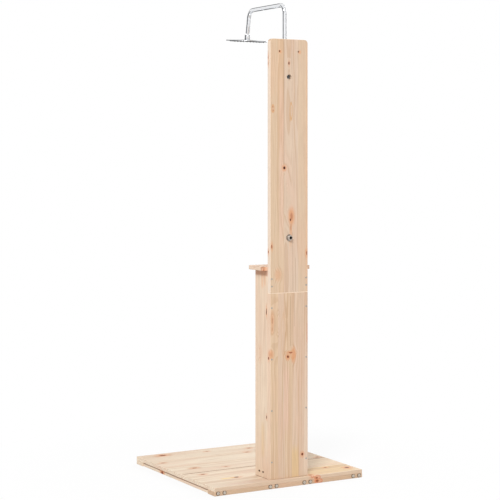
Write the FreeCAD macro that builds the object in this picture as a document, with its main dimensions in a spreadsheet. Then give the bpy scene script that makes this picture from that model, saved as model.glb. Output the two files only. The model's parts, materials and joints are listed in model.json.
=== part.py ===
"""Garden shower post: a slatted deck, a boxed timber column with a shelf, and a chrome shower set.

Millimetres. The origin is the centre of the deck on the ground, +Z is up, the bather stands on the
-Y side and the column stands at the +Y edge. Left and right are the bather's, facing the column.
"""
import FreeCAD, Part
import math
import os
import re
import Sketcher

os.makedirs("parts", exist_ok=True)
doc = FreeCAD.newDocument("garden_shower")
vec = FreeCAD.Vector
hair = 0.01  # places closer than this are one place

# driving sizes
driving = {
    # deck
    "deck_width": 784, "deck_depth": 794, "deck_board_thickness": 18, "deck_board_count": 5,
    "deck_board_gap": 2, "joist_width": 56, "joist_thickness": 19, "joist_side_inset": 6,
    "inner_joist_offset": 90, "cross_batten_width": 64, "edge_ease": 1.5, "cut_overrun": 1,
    # column
    "column_width": 200, "column_inset": 12, "back_board_thickness": 24,
    "seam_drop": 101, "board_top_drop": 170, "board_corner_radius": 18,
    "side_panel_thickness": 18, "side_panel_depth": 110, "side_panel_height": 943,
    "front_panel_thickness": 18, "corner_batten_size": 22, "corner_batten_rise": 78,
    "corner_batten_top_gap": 26,
    "cleat_thickness": 28, "cleat_length": 64, "cleat_height": 52, "cleat_setback": 83,
    # shelf and towel pegs
    "shelf_width": 250, "shelf_depth": 140, "shelf_thickness": 18, "shelf_corner_radius": 20,
    "shelf_screw_offset": 25, "shelf_screw_spacing": 60,
    "peg_offset": 50, "peg_drop": 226, "peg_length": 62, "peg_radius": 7, "peg_knob_radius": 11,
    "peg_knob_length": 14, "peg_flare": 8, "peg_dome": 3,
    # wood screws
    "screw_radius": 2, "screw_head_radius": 4, "screw_head_height": 2.4, "screw_clearance": 0.1,
    "deck_screw_length": 31, "panel_screw_length": 50, "peg_screw_length": 50, "peg_screw_sink": 5,
    "short_screw_length": 36, "cleat_deck_screw_length": 70, "deck_screw_row_spacing": 90,
    "cleat_screw_height": 26, "cleat_deck_screw_spacing": 16,
    "long_screw_radius": 2.5, "long_screw_length": 100, "long_screw_head_radius": 7,
    "long_screw_head_height": 3, "long_screw_spacing": 32.5, "long_screw_lift": 2,
    "cleat_screw_spacing": 34,
    "back_screw_first": 80, "back_screw_seam_gap": 66, "back_screw_rows": 4,
    "seam_screw_drop": 36, "seam_screw_spacing": 34, "front_screw_end_gap": 130,
    # pipework
    "pipe_diameter": 19, "pipe_wall": 1, "riser_standoff": 15.5, "total_height": 2200,
    "arm_bend_radius": 40, "arm_reach": 339.5, "arm_drop_angle": 10, "arm_end_drop": 114,
    "coupling_drop": 296, "coupling_length": 40, "coupling_radius": 12, "coupling_rib": 2,
    "pipe_fit": 0.05, "seal_height": 2.4, "seal_depth": 1.1,
    # pipe bracket
    "bracket_drop": 342, "bracket_radius": 13, "bracket_length": 24, "bracket_boss_radius": 11,
    "bracket_bolt_radius": 4, "bracket_bolt_head_across": 13, "bracket_bolt_head_height": 5.3,
    "bracket_grub_radius": 2.5, "bracket_grub_socket_across": 2.5, "bracket_grub_socket_depth": 2,
    "bracket_washer_radius": 11, "bracket_washer_thickness": 1.6, "bracket_recess_radius": 12,
    "bracket_bolt_sink": 4,
    # inlet and valve
    "valve_rise": 130, "valve_body_radius": 17, "valve_body_length": 39,
    "inlet_thread_radius": 10.48, "inlet_body_radius": 11.5, "inlet_bore_radius": 7,
    "inlet_socket_depth": 7, "inlet_projection": 15, "inlet_thread_length": 9.5,
    "inlet_washer_radius": 15, "inlet_washer_thickness": 1.5, "inlet_nut_across": 26,
    "inlet_nut_thickness": 3.5, "valve_port_radius": 6, "valve_seat_depth": 9,
    "chamber_radius": 10, "outlet_radius": 11.4, "outlet_rise": 33, "outlet_socket_depth": 12,
    "olive_height": 6, "olive_thickness": 1.6, "union_nut_across": 26, "union_nut_length": 24,
    "union_nut_lip": 4,
    "cartridge_wall": 2.2, "disc_thickness": 2.5, "cartridge_seal_thickness": 2,
    "spindle_radius": 4, "spindle_flange_thickness": 4, "bonnet_across": 24, "bonnet_thickness": 8,
    "running_clearance": 0.08, "fixed_clearance": 0.1, "inlet_hole_clearance": 0.5,
    "cartridge_nose": 5, "window_width": 8, "window_length": 14, "disc_gap": 0.05,
    "disc_hub_radius": 1.5, "disc_port_angle": 80,
    # lever
    "hub_radius": 15, "hub_length": 24, "hub_gap": 1.5, "hub_socket_depth": 14,
    "lever_length": 72, "lever_root_radius": 5.5, "lever_tip_radius": 4, "lever_lean": 12,
    "lever_screw_radius": 2, "lever_screw_head_radius": 4, "lever_screw_head_height": 2,
    "lever_screw_grip": 3.5, "lever_cap_radius": 8, "lever_cap_depth": 2, "lever_cap_dome": 1,
    # shower head
    "ball_radius": 9, "ball_gap": 0.3, "seat_thickness": 1, "seat_half_angle": 30,
    "neck_radius": 4.5, "neck_bore_radius": 2.8, "ball_drop": 16, "stem_flange_thickness": 2,
    "stem_shank_length": 12, "collar_radius": 13, "collar_rise": 7, "collar_wall_height": 23.7,
    "collar_ease": 1,
    "head_radius": 100, "head_rim_thickness": 3, "head_plate_thickness": 1.5, "head_boss_rise": 7,
    "head_inlet_radius": 5, "boss_radius": 9.8, "boss_length": 5, "washer_thickness": 2,
    "face_radius": 85.8, "face_plate_thickness": 1, "nozzle_sheet_thickness": 1,
    "nozzle_rings": 5, "nozzles_per_ring": 6, "nozzle_ring_step": 16, "nozzle_radius": 2.2,
    "nozzle_tip_radius": 1.5, "nozzle_length": 3,
    "head_fore_tilt": 4.2, "head_side_tilt": 0.7, "head_rim_ease": 1, "throat_radius": 5.5,
    "boss_clearance": 0.1,
}
# places that follow from the driving sizes
derived = {
    "deck_top": "joist_thickness + deck_board_thickness",
    "column_back": "deck_depth / 2 - column_inset",
    "board_front": "column_back - back_board_thickness",
    "panel_front": "board_front - side_panel_depth",
    "shelf_underside": "deck_top + side_panel_height",
    "lower_board_length": "side_panel_height - seam_drop",
    "board_seam": "deck_top + lower_board_length",
    "upper_board_length": "total_height - board_top_drop - board_seam",
    "corner_batten_length": "side_panel_height - corner_batten_rise - corner_batten_top_gap",
    "peg_height": "total_height - peg_drop",
    "bracket_height": "total_height - bracket_drop",
    "coupling_height": "total_height - coupling_drop",
    "arm_end_height": "total_height - arm_end_drop",
    "valve_height": "shelf_underside + shelf_thickness + valve_rise",
    "pipe_radius": "pipe_diameter / 2",
    "pipe_bore": "pipe_diameter / 2 - pipe_wall",
    "riser_place": "board_front - riser_standoff",
    "arm_centre": "total_height - pipe_diameter / 2",
    "outer_joist_offset": "deck_width / 2 - joist_side_inset - joist_width / 2",
    "outlet_top": "valve_height + outlet_rise",
    "riser_foot": "outlet_top - outlet_socket_depth",
    "union_nut_foot": "outlet_top + olive_height + union_nut_lip - union_nut_length",
    "valve_front": "board_front - valve_body_length",
    "valve_seat": "board_front - valve_seat_depth",
    "ball_place": "riser_place - arm_reach - ball_drop * sin(arm_drop_angle * 1deg)",
    "ball_height": "arm_end_height - ball_drop * cos(arm_drop_angle * 1deg)",
    "deck_board_width": "(deck_depth - (deck_board_count - 1) * deck_board_gap) / deck_board_count",
    "deck_board_pitch": "deck_board_width + deck_board_gap",
    "panel_middle": "column_width / 2 - side_panel_thickness / 2",
    "panel_inside": "column_width / 2 - side_panel_thickness",
    "cleat_middle": "column_back - cleat_setback",
    "bolt_seat": "column_back - bracket_bolt_sink - bracket_bolt_head_height",
    "bolt_tip": "riser_place + pipe_radius + pipe_wall",
    "hub_back": "valve_front - bonnet_thickness - hub_gap",
    "hub_front": "hub_back - hub_length",
    "screw_head_seat": "hub_front + lever_cap_depth + lever_screw_head_height",
    "cartridge_back": "valve_seat - cartridge_seal_thickness",
    "cartridge_radius": "chamber_radius - fixed_clearance",
    "cartridge_bore": "cartridge_radius - cartridge_wall",
    "disc_radius": "cartridge_bore - running_clearance",
    "flange_back": "cartridge_back - 2 * disc_thickness - 2 * disc_gap",
    "cavity_radius": "ball_radius + 2 * ball_gap + seat_thickness",
    "face_recess_radius": "face_radius + fixed_clearance",
    "face_recess_depth": "face_plate_thickness + nozzle_sheet_thickness",
}

sheet = doc.addObject("Spreadsheet::Sheet", "sizes")
workings = doc.addObject("Spreadsheet::Sheet", "workings")


def cell(text):
    """Spell an expression on the sheet's aliases as the document reads it."""
    return re.sub(r"\b([a-z]+(?:_[a-z]+)+)\b", lambda m: "sizes." + m.group(1), text)


for row, (alias, value) in enumerate(list(driving.items()) + list(derived.items()), start=1):
    text = str(value) if alias in driving else "=" + value
    sheet.set("A%d" % row, alias)
    sheet.set("B%d" % row, text)
    sheet.setAlias("B%d" % row, alias)
doc.recompute()


def size(alias):
    """The present value of one cell."""
    return float(sheet.get(alias))


# drawing helpers
def bind(thing, **cells):
    for name, text in cells.items():
        thing.setExpression(name, cell(text))


def place(thing, x="0", y="0", z="0", axis=vec(0, 0, 1), angle=0):
    thing.Placement = FreeCAD.Placement(vec(), FreeCAD.Rotation(axis, angle))
    bind(thing, **{".Placement.Base.x": x, ".Placement.Base.y": y, ".Placement.Base.z": z})


def originPlane(body, role):
    return [item for item in body.Origin.OriginFeatures if item.Role == role][0]


def newSketch(body, plane, name):
    sketch = body.newObject("Sketcher::SketchObject", name)
    sketch.AttachmentSupport = [(originPlane(body, plane), "")]
    sketch.MapMode = "FlatFace"
    return sketch


def pinPoint(sketch, line, end, across, up):
    """Hold a sketch point at its place, on an axis where the place is 0."""
    if across == "0":
        sketch.addConstraint(Sketcher.Constraint("PointOnObject", line, end, -2))
    else:
        index = sketch.addConstraint(Sketcher.Constraint("DistanceX", -1, 1, line, end, worth(across)))
        sketch.setExpression("Constraints[%d]" % index, cell(across))
    if up == "0":
        sketch.addConstraint(Sketcher.Constraint("PointOnObject", line, end, -1))
    else:
        index = sketch.addConstraint(Sketcher.Constraint("DistanceY", -1, 1, line, end, worth(up)))
        sketch.setExpression("Constraints[%d]" % index, cell(up))


def worth(text):
    """The present value of an expression on the aliases."""
    workings.set("A1", "=" + cell(text))
    doc.recompute([workings])
    return float(workings.get("A1"))


def outline(sketch, corners):
    """Draw a closed polygon through corners given as pairs of expressions."""
    points = [vec(worth(across), worth(up), 0) for across, up in corners]
    count = len(points)
    for index in range(count):
        sketch.addGeometry(Part.LineSegment(points[index], points[(index + 1) % count]), False)
    for index in range(count):
        sketch.addConstraint(Sketcher.Constraint("Coincident", index, 2, (index + 1) % count, 1))
    for index, (across, up) in enumerate(corners):
        pinPoint(sketch, index, 1, across, up)


def edgesWhere(shape, test):
    return ["Edge%d" % (n + 1) for n, edge in enumerate(shape.Edges) if test(edge)]


def board(label, plane, across, up, thickness, rounded=None):
    """A sawn board: a rectangle padded off one origin plane, its arrises eased."""
    body = doc.addObject("PartDesign::Body", label + "_blank")
    sketch = newSketch(body, plane, label + "_outline")
    outline(sketch, [("0", "0"), (across, "0"), (across, up), ("0", up)])
    pad = body.newObject("PartDesign::Pad", label + "_pad")
    pad.Profile = sketch
    bind(pad, Length=thickness)
    doc.recompute()
    if rounded:
        radius, test = rounded
        fillet = body.newObject("PartDesign::Fillet", label + "_corners")
        fillet.Base = (pad, edgesWhere(pad.Shape, test))
        bind(fillet, Radius=radius)
        doc.recompute()
    last = body.Tip
    ease = body.newObject("PartDesign::Chamfer", label + "_ease")
    ease.Base = (last, edgesWhere(last.Shape, lambda edge: True))
    bind(ease, Size="edge_ease")
    doc.recompute()
    return body


def turned(label, corners):
    """A turned piece: its half section, as (radius, height) pairs, revolved about its own Z axis."""
    body = doc.addObject("PartDesign::Body", label)
    sketch = newSketch(body, "XZ_Plane", label + "_section")
    outline(sketch, corners)
    spin = body.newObject("PartDesign::Revolution", label + "_turn")
    spin.Profile = sketch
    spin.ReferenceAxis = (sketch, ["V_Axis"])
    spin.Angle = 360
    doc.recompute()
    return body


def ring(label, outer, inner, height):
    """A plain ring or tube standing on its own XY plane."""
    return turned(label, [(inner, "0"), (outer, "0"), (outer, height), (inner, height)])


def cylinder(name, radius, height, x="0", y="0", z="0", axis=vec(0, 0, 1), angle=0):
    solid = doc.addObject("Part::Cylinder", name)
    bind(solid, Radius=radius, Height=height)
    place(solid, x, y, z, axis, angle)
    return solid


def hexagon(name, across, height, x="0", y="0", z="0", axis=vec(0, 0, 1), angle=0):
    solid = doc.addObject("Part::Prism", name)
    solid.Polygon = 6
    bind(solid, Circumradius=across + " / sqrt(3)", Height=height)
    place(solid, x, y, z, axis, angle)
    return solid


def fuse(name, *solids):
    joined = doc.addObject("Part::MultiFuse", name)
    joined.Shapes = list(solids)
    joined.Refine = True
    return joined


def cut(name, base, *tools):
    tool = tools[0] if len(tools) == 1 else fuse(name + "_tools", *tools)
    result = doc.addObject("Part::Cut", name)
    result.Base = base
    result.Tool = tool
    result.Refine = True
    doc.recompute()
    return result


subParts = {}


def finish(label, thing):
    thing.Label = label
    subParts[label] = thing
    return thing


towardBack = dict(axis=vec(1, 0, 0), angle=-90)
towardFront = dict(axis=vec(1, 0, 0), angle=90)

# screws and their holes
# A screw is drawn hanging down from the middle of its head's bearing face. It is turned to its
# direction and copied to each spot, and the same list, grown by the clearance, makes the holes.
screwGroups = {}


def screwSolid(group, grow):
    """One screw, or with some growth the hole it goes in, with a counterbore where it is sunk."""
    radius = size(group["shank"]) + grow
    length = size(group["length"]) + grow
    headRadius = size(group["head"])
    headHeight = size(group["rise"])
    shank = Part.makeCylinder(radius, length, vec(0, 0, -length))
    if group["countersunk"]:
        head = Part.makeCone(radius, headRadius + grow, headHeight + grow, vec(0, 0, -headHeight - grow))
    else:
        head = Part.makeCylinder(headRadius, headHeight)
    if grow and group["sink"]:
        counterbore = Part.makeCylinder(headRadius + grow, size(group["sink"]) + size("cut_overrun"))
        head = head.fuse(counterbore)
    return shank.fuse(head).removeSplitter()


def spread(group, grow):
    one = screwSolid(group, grow)
    copies = []
    for spot, direction in group["spots"]:
        copy = one.copy()
        copy.Placement = FreeCAD.Placement(spot, FreeCAD.Rotation(vec(0, 0, -1), direction))
        copies.append(copy)
    return Part.makeCompound(copies)


def screws(label, spots, length, shank="screw_radius", head="screw_head_radius",
           rise="screw_head_height", countersunk=True, sink=None):
    """Make a group of equal screws, given the spot and direction of each."""
    group = dict(spots=spots, length=length, shank=shank, head=head, rise=rise,
                 countersunk=countersunk, sink=sink)
    screwGroups[label] = group
    feature = doc.addObject("Part::Feature", label)
    feature.Shape = spread(group, 0)
    finish(label, feature)


def drilled(label, blank, groups, *tools):
    """Cut the hole of every screw that reaches a blank, and any other tools, and finish the piece."""
    doc.recompute()
    reach = blank.Shape.BoundBox
    holes = []
    for name in groups:
        for solid in spread(screwGroups[name], size("screw_clearance")).Solids:
            if solid.BoundBox.intersect(reach):
                holes.append(solid)
    cutter = doc.addObject("Part::Feature", label + "_holes")
    cutter.Shape = Part.makeCompound(holes)
    finish(label, cut(label, blank, cutter, *tools))


upward, downward = vec(0, 0, 1), vec(0, 0, -1)
backward, forward = vec(0, 1, 0), vec(0, -1, 0)
leftward, rightward = vec(-1, 0, 0), vec(1, 0, 0)
deckTop = size("deck_top")
columnBack = size("column_back")
halfDepth = size("deck_depth") / 2
halfColumn = size("column_width") / 2
panelMiddle = size("panel_middle")
cleatMiddle = size("cleat_middle")
boardCount = int(size("deck_board_count"))
joistPlaces = {"left_outer_joist": "-outer_joist_offset", "left_inner_joist": "-inner_joist_offset",
               "right_inner_joist": "inner_joist_offset", "right_outer_joist": "outer_joist_offset"}
joistMiddles = [worth(text) for text in joistPlaces.values()]
boardMiddles = [-halfDepth + size("deck_board_width") / 2 + n * size("deck_board_pitch")
                for n in range(boardCount)]
rowHalf = size("deck_screw_row_spacing") / 2
pairHalf = size("long_screw_spacing") / 2
shelfTop = size("shelf_underside") + size("shelf_thickness")
# heights above the deck of the screws in the back boards and in the front panel
panelHeight = size("side_panel_height")
backRows = int(size("back_screw_rows"))
backSpan = size("lower_board_length") - size("back_screw_seam_gap") - size("back_screw_first")
backScrewHeights = [size("back_screw_first") + backSpan * n / (backRows - 1) for n in range(backRows)]
seamScrew = panelHeight - size("seam_screw_drop")
backScrewHeights += [seamScrew - size("seam_screw_spacing"), seamScrew]
frontGap = size("front_screw_end_gap")
frontScrewHeights = [frontGap, panelHeight / 2, panelHeight - frontGap]

screws("deck_board_screws", [(vec(x, y + row, 0), upward) for x in joistMiddles
                             for y in boardMiddles for row in (-rowHalf, rowHalf)],
       "deck_screw_length")
longScrews = dict(length="long_screw_length", shank="long_screw_radius", countersunk=False,
                  head="long_screw_head_radius", rise="long_screw_head_height")
pairPlaces = [x + side for x in joistMiddles for side in (-pairHalf, pairHalf)]
endScrewHeight = size("joist_thickness") / 2 + size("long_screw_lift")
screws("joist_end_screws", [(vec(x, side * halfDepth, endScrewHeight), inward) for x in pairPlaces
                            for side, inward in ((-1, backward), (1, forward))], **longScrews)
screws("back_board_screws", [(vec(x, columnBack, deckTop + z), forward)
                             for x in (-panelMiddle, panelMiddle) for z in backScrewHeights],
       "panel_screw_length")
frontScrewPlace = size("panel_inside") - size("corner_batten_size") / 2
cleatHalf = size("cleat_screw_spacing") / 2
cleatScrewHeight = deckTop + size("cleat_screw_height")
frontScrewSpots = [(vec(x, size("panel_front"), deckTop + z), backward)
                   for x in (-frontScrewPlace, frontScrewPlace) for z in frontScrewHeights]
cleatScrewSpots = [(vec(side * halfColumn, y, cleatScrewHeight), inward)
                   for side, inward in ((-1, rightward), (1, leftward))
                   for y in (cleatMiddle - cleatHalf, cleatMiddle + cleatHalf)]
screws("short_screws", frontScrewSpots + cleatScrewSpots, "short_screw_length")
cleatScrewOffset = size("panel_inside") - size("cleat_thickness") / 2
cleatDeckHalf = size("cleat_deck_screw_spacing") / 2
screws("cleat_deck_screws", [(vec(x, cleatMiddle + step, 0), upward)
                             for x in (-cleatScrewOffset, cleatScrewOffset)
                             for step in (-cleatDeckHalf, cleatDeckHalf)],
       "cleat_deck_screw_length")
shelfScrewFirst = size("panel_front") + size("shelf_screw_offset")
screws("shelf_screws", [(vec(x, shelfScrewFirst + step, shelfTop), downward)
                        for x in (-panelMiddle, panelMiddle)
                        for step in (0, size("shelf_screw_spacing"))],
       "panel_screw_length")
pegScrewSeat = columnBack - size("peg_screw_sink")
screws("peg_screws", [(vec(x, pegScrewSeat, size("peg_height")), forward)
                      for x in (-size("peg_offset"), size("peg_offset"))],
       "peg_screw_length", sink="peg_screw_sink")

# deck
deckGroups = ("deck_board_screws", "joist_end_screws", "cleat_deck_screws")
for number in range(boardCount):
    label = "deck_board_%d" % (number + 1)
    blank = board(label, "XY_Plane", "deck_width", "deck_board_width", "deck_board_thickness")
    place(blank, "-deck_width / 2", "-deck_depth / 2 + %d * deck_board_pitch" % number, "joist_thickness")
    drilled(label, blank, deckGroups)
for label, middle in joistPlaces.items():
    blank = board(label, "XY_Plane", "joist_width", "deck_depth - 2 * cross_batten_width",
                  "joist_thickness")
    place(blank, middle + " - joist_width / 2", "-deck_depth / 2 + cross_batten_width")
    drilled(label, blank, deckGroups)
for label, edge in (("front_cross_batten", "-deck_depth / 2"),
                    ("rear_cross_batten", "deck_depth / 2 - cross_batten_width")):
    blank = board(label, "XY_Plane", "deck_width", "cross_batten_width", "joist_thickness")
    place(blank, "-deck_width / 2", edge)
    drilled(label, blank, deckGroups)

# column
lower = board("lower_back_board", "XZ_Plane", "column_width", "lower_board_length",
              "back_board_thickness")
place(lower, "-column_width / 2", "column_back", "deck_top")
drilled("lower_back_board", lower, ["back_board_screws"])

upper = board("upper_back_board", "XZ_Plane", "column_width", "upper_board_length",
              "back_board_thickness",
              ("board_corner_radius", lambda edge: edge.BoundBox.XLength < hair
               and edge.BoundBox.ZMin > size("upper_board_length") - hair))
place(upper, "-column_width / 2", "column_back", "board_seam")
inletHole = cylinder("inlet_hole", "inlet_body_radius + inlet_hole_clearance",
                     "back_board_thickness + 2 * cut_overrun",
                     "0", "board_front - cut_overrun", "valve_height", **towardBack)
boltHole = cylinder("bolt_hole", "bracket_bolt_radius + fixed_clearance",
                    "back_board_thickness + 2 * cut_overrun",
                    "0", "board_front - cut_overrun", "bracket_height", **towardBack)
boltRecess = cylinder("bolt_recess", "bracket_recess_radius",
                      "column_back - bolt_seat + bracket_washer_thickness + cut_overrun",
                      "0", "bolt_seat - bracket_washer_thickness", "bracket_height", **towardBack)
drilled("upper_back_board", upper, ["back_board_screws", "peg_screws"], inletHole, boltHole, boltRecess)

panelGroups = ("back_board_screws", "short_screws", "shelf_screws")
for label, edge in (("left_side_panel", "-column_width / 2"), ("right_side_panel", "panel_inside")):
    panel = board(label, "YZ_Plane", "side_panel_depth", "side_panel_height", "side_panel_thickness")
    place(panel, edge, "panel_front", "deck_top")
    drilled(label, panel, panelGroups)
front = board("front_panel", "XZ_Plane", "2 * panel_inside", "side_panel_height", "front_panel_thickness")
place(front, "-panel_inside", "panel_front + front_panel_thickness", "deck_top")
drilled("front_panel", front, ["short_screws"])
for label, edge in (("left_corner_batten", "-panel_inside"),
                    ("right_corner_batten", "panel_inside - corner_batten_size")):
    batten = board(label, "XY_Plane", "corner_batten_size", "corner_batten_size",
                   "corner_batten_length")
    place(batten, edge, "panel_front + front_panel_thickness", "deck_top + corner_batten_rise")
    drilled(label, batten, ["short_screws"])
for label, edge in (("left_base_cleat", "-panel_inside"),
                    ("right_base_cleat", "panel_inside - cleat_thickness")):
    cleat = board(label, "XY_Plane", "cleat_thickness", "cleat_length", "cleat_height")
    place(cleat, edge, "cleat_middle - cleat_length / 2", "deck_top")
    drilled(label, cleat, ["short_screws", "cleat_deck_screws"])

shelf = board("shelf", "XY_Plane", "shelf_width", "shelf_depth", "shelf_thickness",
              ("shelf_corner_radius", lambda edge: edge.BoundBox.XLength < hair
               and edge.BoundBox.YMax < hair))
place(shelf, "-shelf_width / 2", "board_front - shelf_depth", "shelf_underside")
drilled("shelf", shelf, ["shelf_screws"])

for label, offset in (("left_towel_peg", "-peg_offset"), ("right_towel_peg", "peg_offset")):
    peg = turned(label + "_blank", [
        ("0", "0"), ("peg_radius", "0"), ("peg_radius", "peg_length - peg_knob_length - peg_flare"),
        ("peg_knob_radius", "peg_length - peg_knob_length"), ("peg_knob_radius", "peg_length - peg_dome"),
        ("peg_knob_radius - peg_dome", "peg_length"), ("0", "peg_length")])
    place(peg, offset, "board_front", "peg_height", **towardFront)
    drilled(label, peg, ["peg_screws"])

# riser, coupling and arm
riser = ring("riser_pipe", "pipe_radius", "pipe_bore",
             "coupling_height - coupling_rib / 2 - riser_foot")
place(riser, "0", "riser_place", "riser_foot")
finish("riser_pipe", riser)

sleeveBore = "pipe_radius + pipe_fit"
groove = "pipe_radius + pipe_fit + seal_depth"
lowSeal = "coupling_length / 4 - seal_height / 2"
highSeal = "3 * coupling_length / 4 - seal_height / 2"
coupling = turned("pipe_coupling", [
    (sleeveBore, "0"), ("coupling_radius", "0"), ("coupling_radius", "coupling_length"),
    (sleeveBore, "coupling_length"), (sleeveBore, highSeal + " + seal_height"),
    (groove, highSeal + " + seal_height"), (groove, highSeal), (sleeveBore, highSeal),
    (sleeveBore, "coupling_length / 2 + coupling_rib / 2"),
    ("pipe_bore", "coupling_length / 2 + coupling_rib / 2"),
    ("pipe_bore", "coupling_length / 2 - coupling_rib / 2"),
    (sleeveBore, "coupling_length / 2 - coupling_rib / 2"),
    (sleeveBore, lowSeal + " + seal_height"), (groove, lowSeal + " + seal_height"),
    (groove, lowSeal), (sleeveBore, lowSeal)])
place(coupling, "0", "riser_place", "coupling_height - coupling_length / 2")
finish("pipe_coupling", coupling)

seals = []
for name, start in (("lower_seal", lowSeal), ("upper_seal", highSeal)):
    seal = ring(name, groove, "pipe_radius + pipe_fit / 2", "seal_height")
    place(seal, "0", "riser_place", "coupling_height - coupling_length / 2 + " + start)
    seals.append(seal)
sealPair = doc.addObject("Part::Compound", "coupling_seals")
sealPair.Links = seals
finish("coupling_seals", sealPair)

# The arm is one bent tube. Its own x runs forward from the riser and its y runs up.
arm = doc.addObject("PartDesign::Body", "shower_arm")
path = newSketch(arm, "XZ_Plane", "arm_path")
bend = size("arm_bend_radius")
armFoot = size("coupling_height") + size("coupling_rib") / 2
level = size("arm_centre") - armFoot
endDown = size("arm_end_height") - armFoot
reach = size("arm_reach")
lean = math.radians(size("arm_drop_angle"))
turnBack = bend * math.tan((math.pi / 2 - lean) / 2)
corner = reach - (level - endDown) * math.tan(lean)
secondStart = vec(corner - turnBack, level, 0)
secondEnd = vec(corner + turnBack * math.sin(lean), level - turnBack * math.cos(lean), 0)
secondCentre = vec(corner - turnBack, level - bend, 0)
halfTurn = (math.pi / 2 - lean) / 2
secondMiddle = secondCentre + vec(bend * math.sin(halfTurn), bend * math.cos(halfTurn), 0)
firstMiddle = vec(bend - bend * math.cos(math.pi / 4), level - bend + bend * math.sin(math.pi / 4), 0)
path.addGeometry([
    Part.LineSegment(vec(0, 0, 0), vec(0, level - bend, 0)),
    Part.Arc(vec(0, level - bend, 0), firstMiddle, vec(bend, level, 0)),
    Part.LineSegment(vec(bend, level, 0), secondStart),
    Part.Arc(secondStart, secondMiddle, secondEnd),
    Part.LineSegment(secondEnd, vec(reach, endDown, 0))], False)


def armEnds(sketch, line, end, point):
    """The number, 1 or 2, of the end of a sketch curve that lies at a point, and the other end."""
    first = sketch.getPoint(line, 1)
    return end if first.distanceToPoint(point) < hair else 3 - end


firstIn = armEnds(path, 1, 1, vec(0, level - bend, 0))
secondIn = armEnds(path, 3, 1, secondStart)
path.addConstraint([
    Sketcher.Constraint("Coincident", 0, 1, -1, 1),
    Sketcher.Constraint("Vertical", 0),
    Sketcher.Constraint("Tangent", 0, 2, 1, firstIn),
    Sketcher.Constraint("Tangent", 1, 3 - firstIn, 2, 1),
    Sketcher.Constraint("Horizontal", 2),
    Sketcher.Constraint("Tangent", 2, 2, 3, secondIn),
    Sketcher.Constraint("Tangent", 3, 3 - secondIn, 4, 1)])
pathSizes = [
    (Sketcher.Constraint("Radius", 1, bend), "arm_bend_radius"),
    (Sketcher.Constraint("Radius", 3, bend), "arm_bend_radius"),
    (Sketcher.Constraint("DistanceY", -1, 1, 2, 1, level),
     "arm_centre - coupling_height - coupling_rib / 2"),
    (Sketcher.Constraint("DistanceX", -1, 1, 4, 2, reach), "arm_reach"),
    (Sketcher.Constraint("DistanceY", -1, 1, 4, 2, endDown),
     "arm_end_height - coupling_height - coupling_rib / 2")]
for constraint, text in pathSizes:
    index = path.addConstraint(constraint)
    path.setExpression("Constraints[%d]" % index, cell(text))
section = newSketch(arm, "XY_Plane", "arm_section")
for radius in ("pipe_radius", "pipe_bore"):
    index = section.addGeometry(Part.Circle(vec(0, 0, 0), vec(0, 0, 1), size(radius)), False)
    section.addConstraint(Sketcher.Constraint("Coincident", index, 3, -1, 1))
    bound = section.addConstraint(Sketcher.Constraint("Radius", index, size(radius)))
    section.setExpression("Constraints[%d]" % bound, cell(radius))
doc.recompute()
tube = arm.newObject("PartDesign::AdditivePipe", "arm_tube")
tube.Profile = section
tube.Spine = path
doc.recompute()
place(arm, "0", "riser_place", "coupling_height + coupling_rib / 2", vec(0, 0, 1), -90)
finish("shower_arm", arm)

# pipe bracket
collar = cylinder("bracket_collar", "bracket_radius", "bracket_length",
                  "0", "riser_place", "bracket_height - bracket_length / 2")
boss = cylinder("bracket_boss", "bracket_boss_radius", "riser_standoff",
                "0", "riser_place", "bracket_height", **towardBack)
pipeBore = cylinder("bracket_bore", "pipe_radius + pipe_fit", "bracket_length + 2 * cut_overrun",
                    "0", "riser_place", "bracket_height - bracket_length / 2 - cut_overrun")
boltBore = cylinder("bracket_thread", "bracket_bolt_radius + fixed_clearance", "riser_standoff",
                    "0", "riser_place", "bracket_height", **towardBack)
grubBore = cylinder("bracket_grub_hole", "bracket_grub_radius + pipe_fit", "bracket_radius + cut_overrun",
                    "0", "riser_place", "bracket_height", **towardFront)
finish("pipe_bracket", cut("pipe_bracket_cut", fuse("bracket_form", collar, boss),
                           pipeBore, boltBore, grubBore))
grub = cylinder("grub", "bracket_grub_radius", "bracket_radius - pipe_radius - pipe_fit",
                "0", "riser_place - pipe_radius - pipe_fit", "bracket_height", **towardFront)
grubSocket = hexagon("grub_socket", "bracket_grub_socket_across",
                     "bracket_grub_socket_depth + cut_overrun", "0",
                     "riser_place - bracket_radius + bracket_grub_socket_depth", "bracket_height",
                     **towardFront)
finish("bracket_grub_screw", cut("bracket_grub_screw_cut", grub, grubSocket))

boltHead = hexagon("bolt_head", "bracket_bolt_head_across", "bracket_bolt_head_height",
                   "0", "bolt_seat", "bracket_height", **towardBack)
boltShank = cylinder("bolt_shank", "bracket_bolt_radius", "bolt_seat - bolt_tip",
                     "0", "bolt_tip", "bracket_height", **towardBack)
finish("bracket_bolt", fuse("bracket_bolt_form", boltHead, boltShank))
washer = ring("bracket_washer", "bracket_washer_radius", "bracket_bolt_radius + fixed_clearance",
              "bracket_washer_thickness")
place(washer, "0", "bolt_seat - bracket_washer_thickness", "bracket_height", **towardBack)
finish("bracket_washer", washer)

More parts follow.
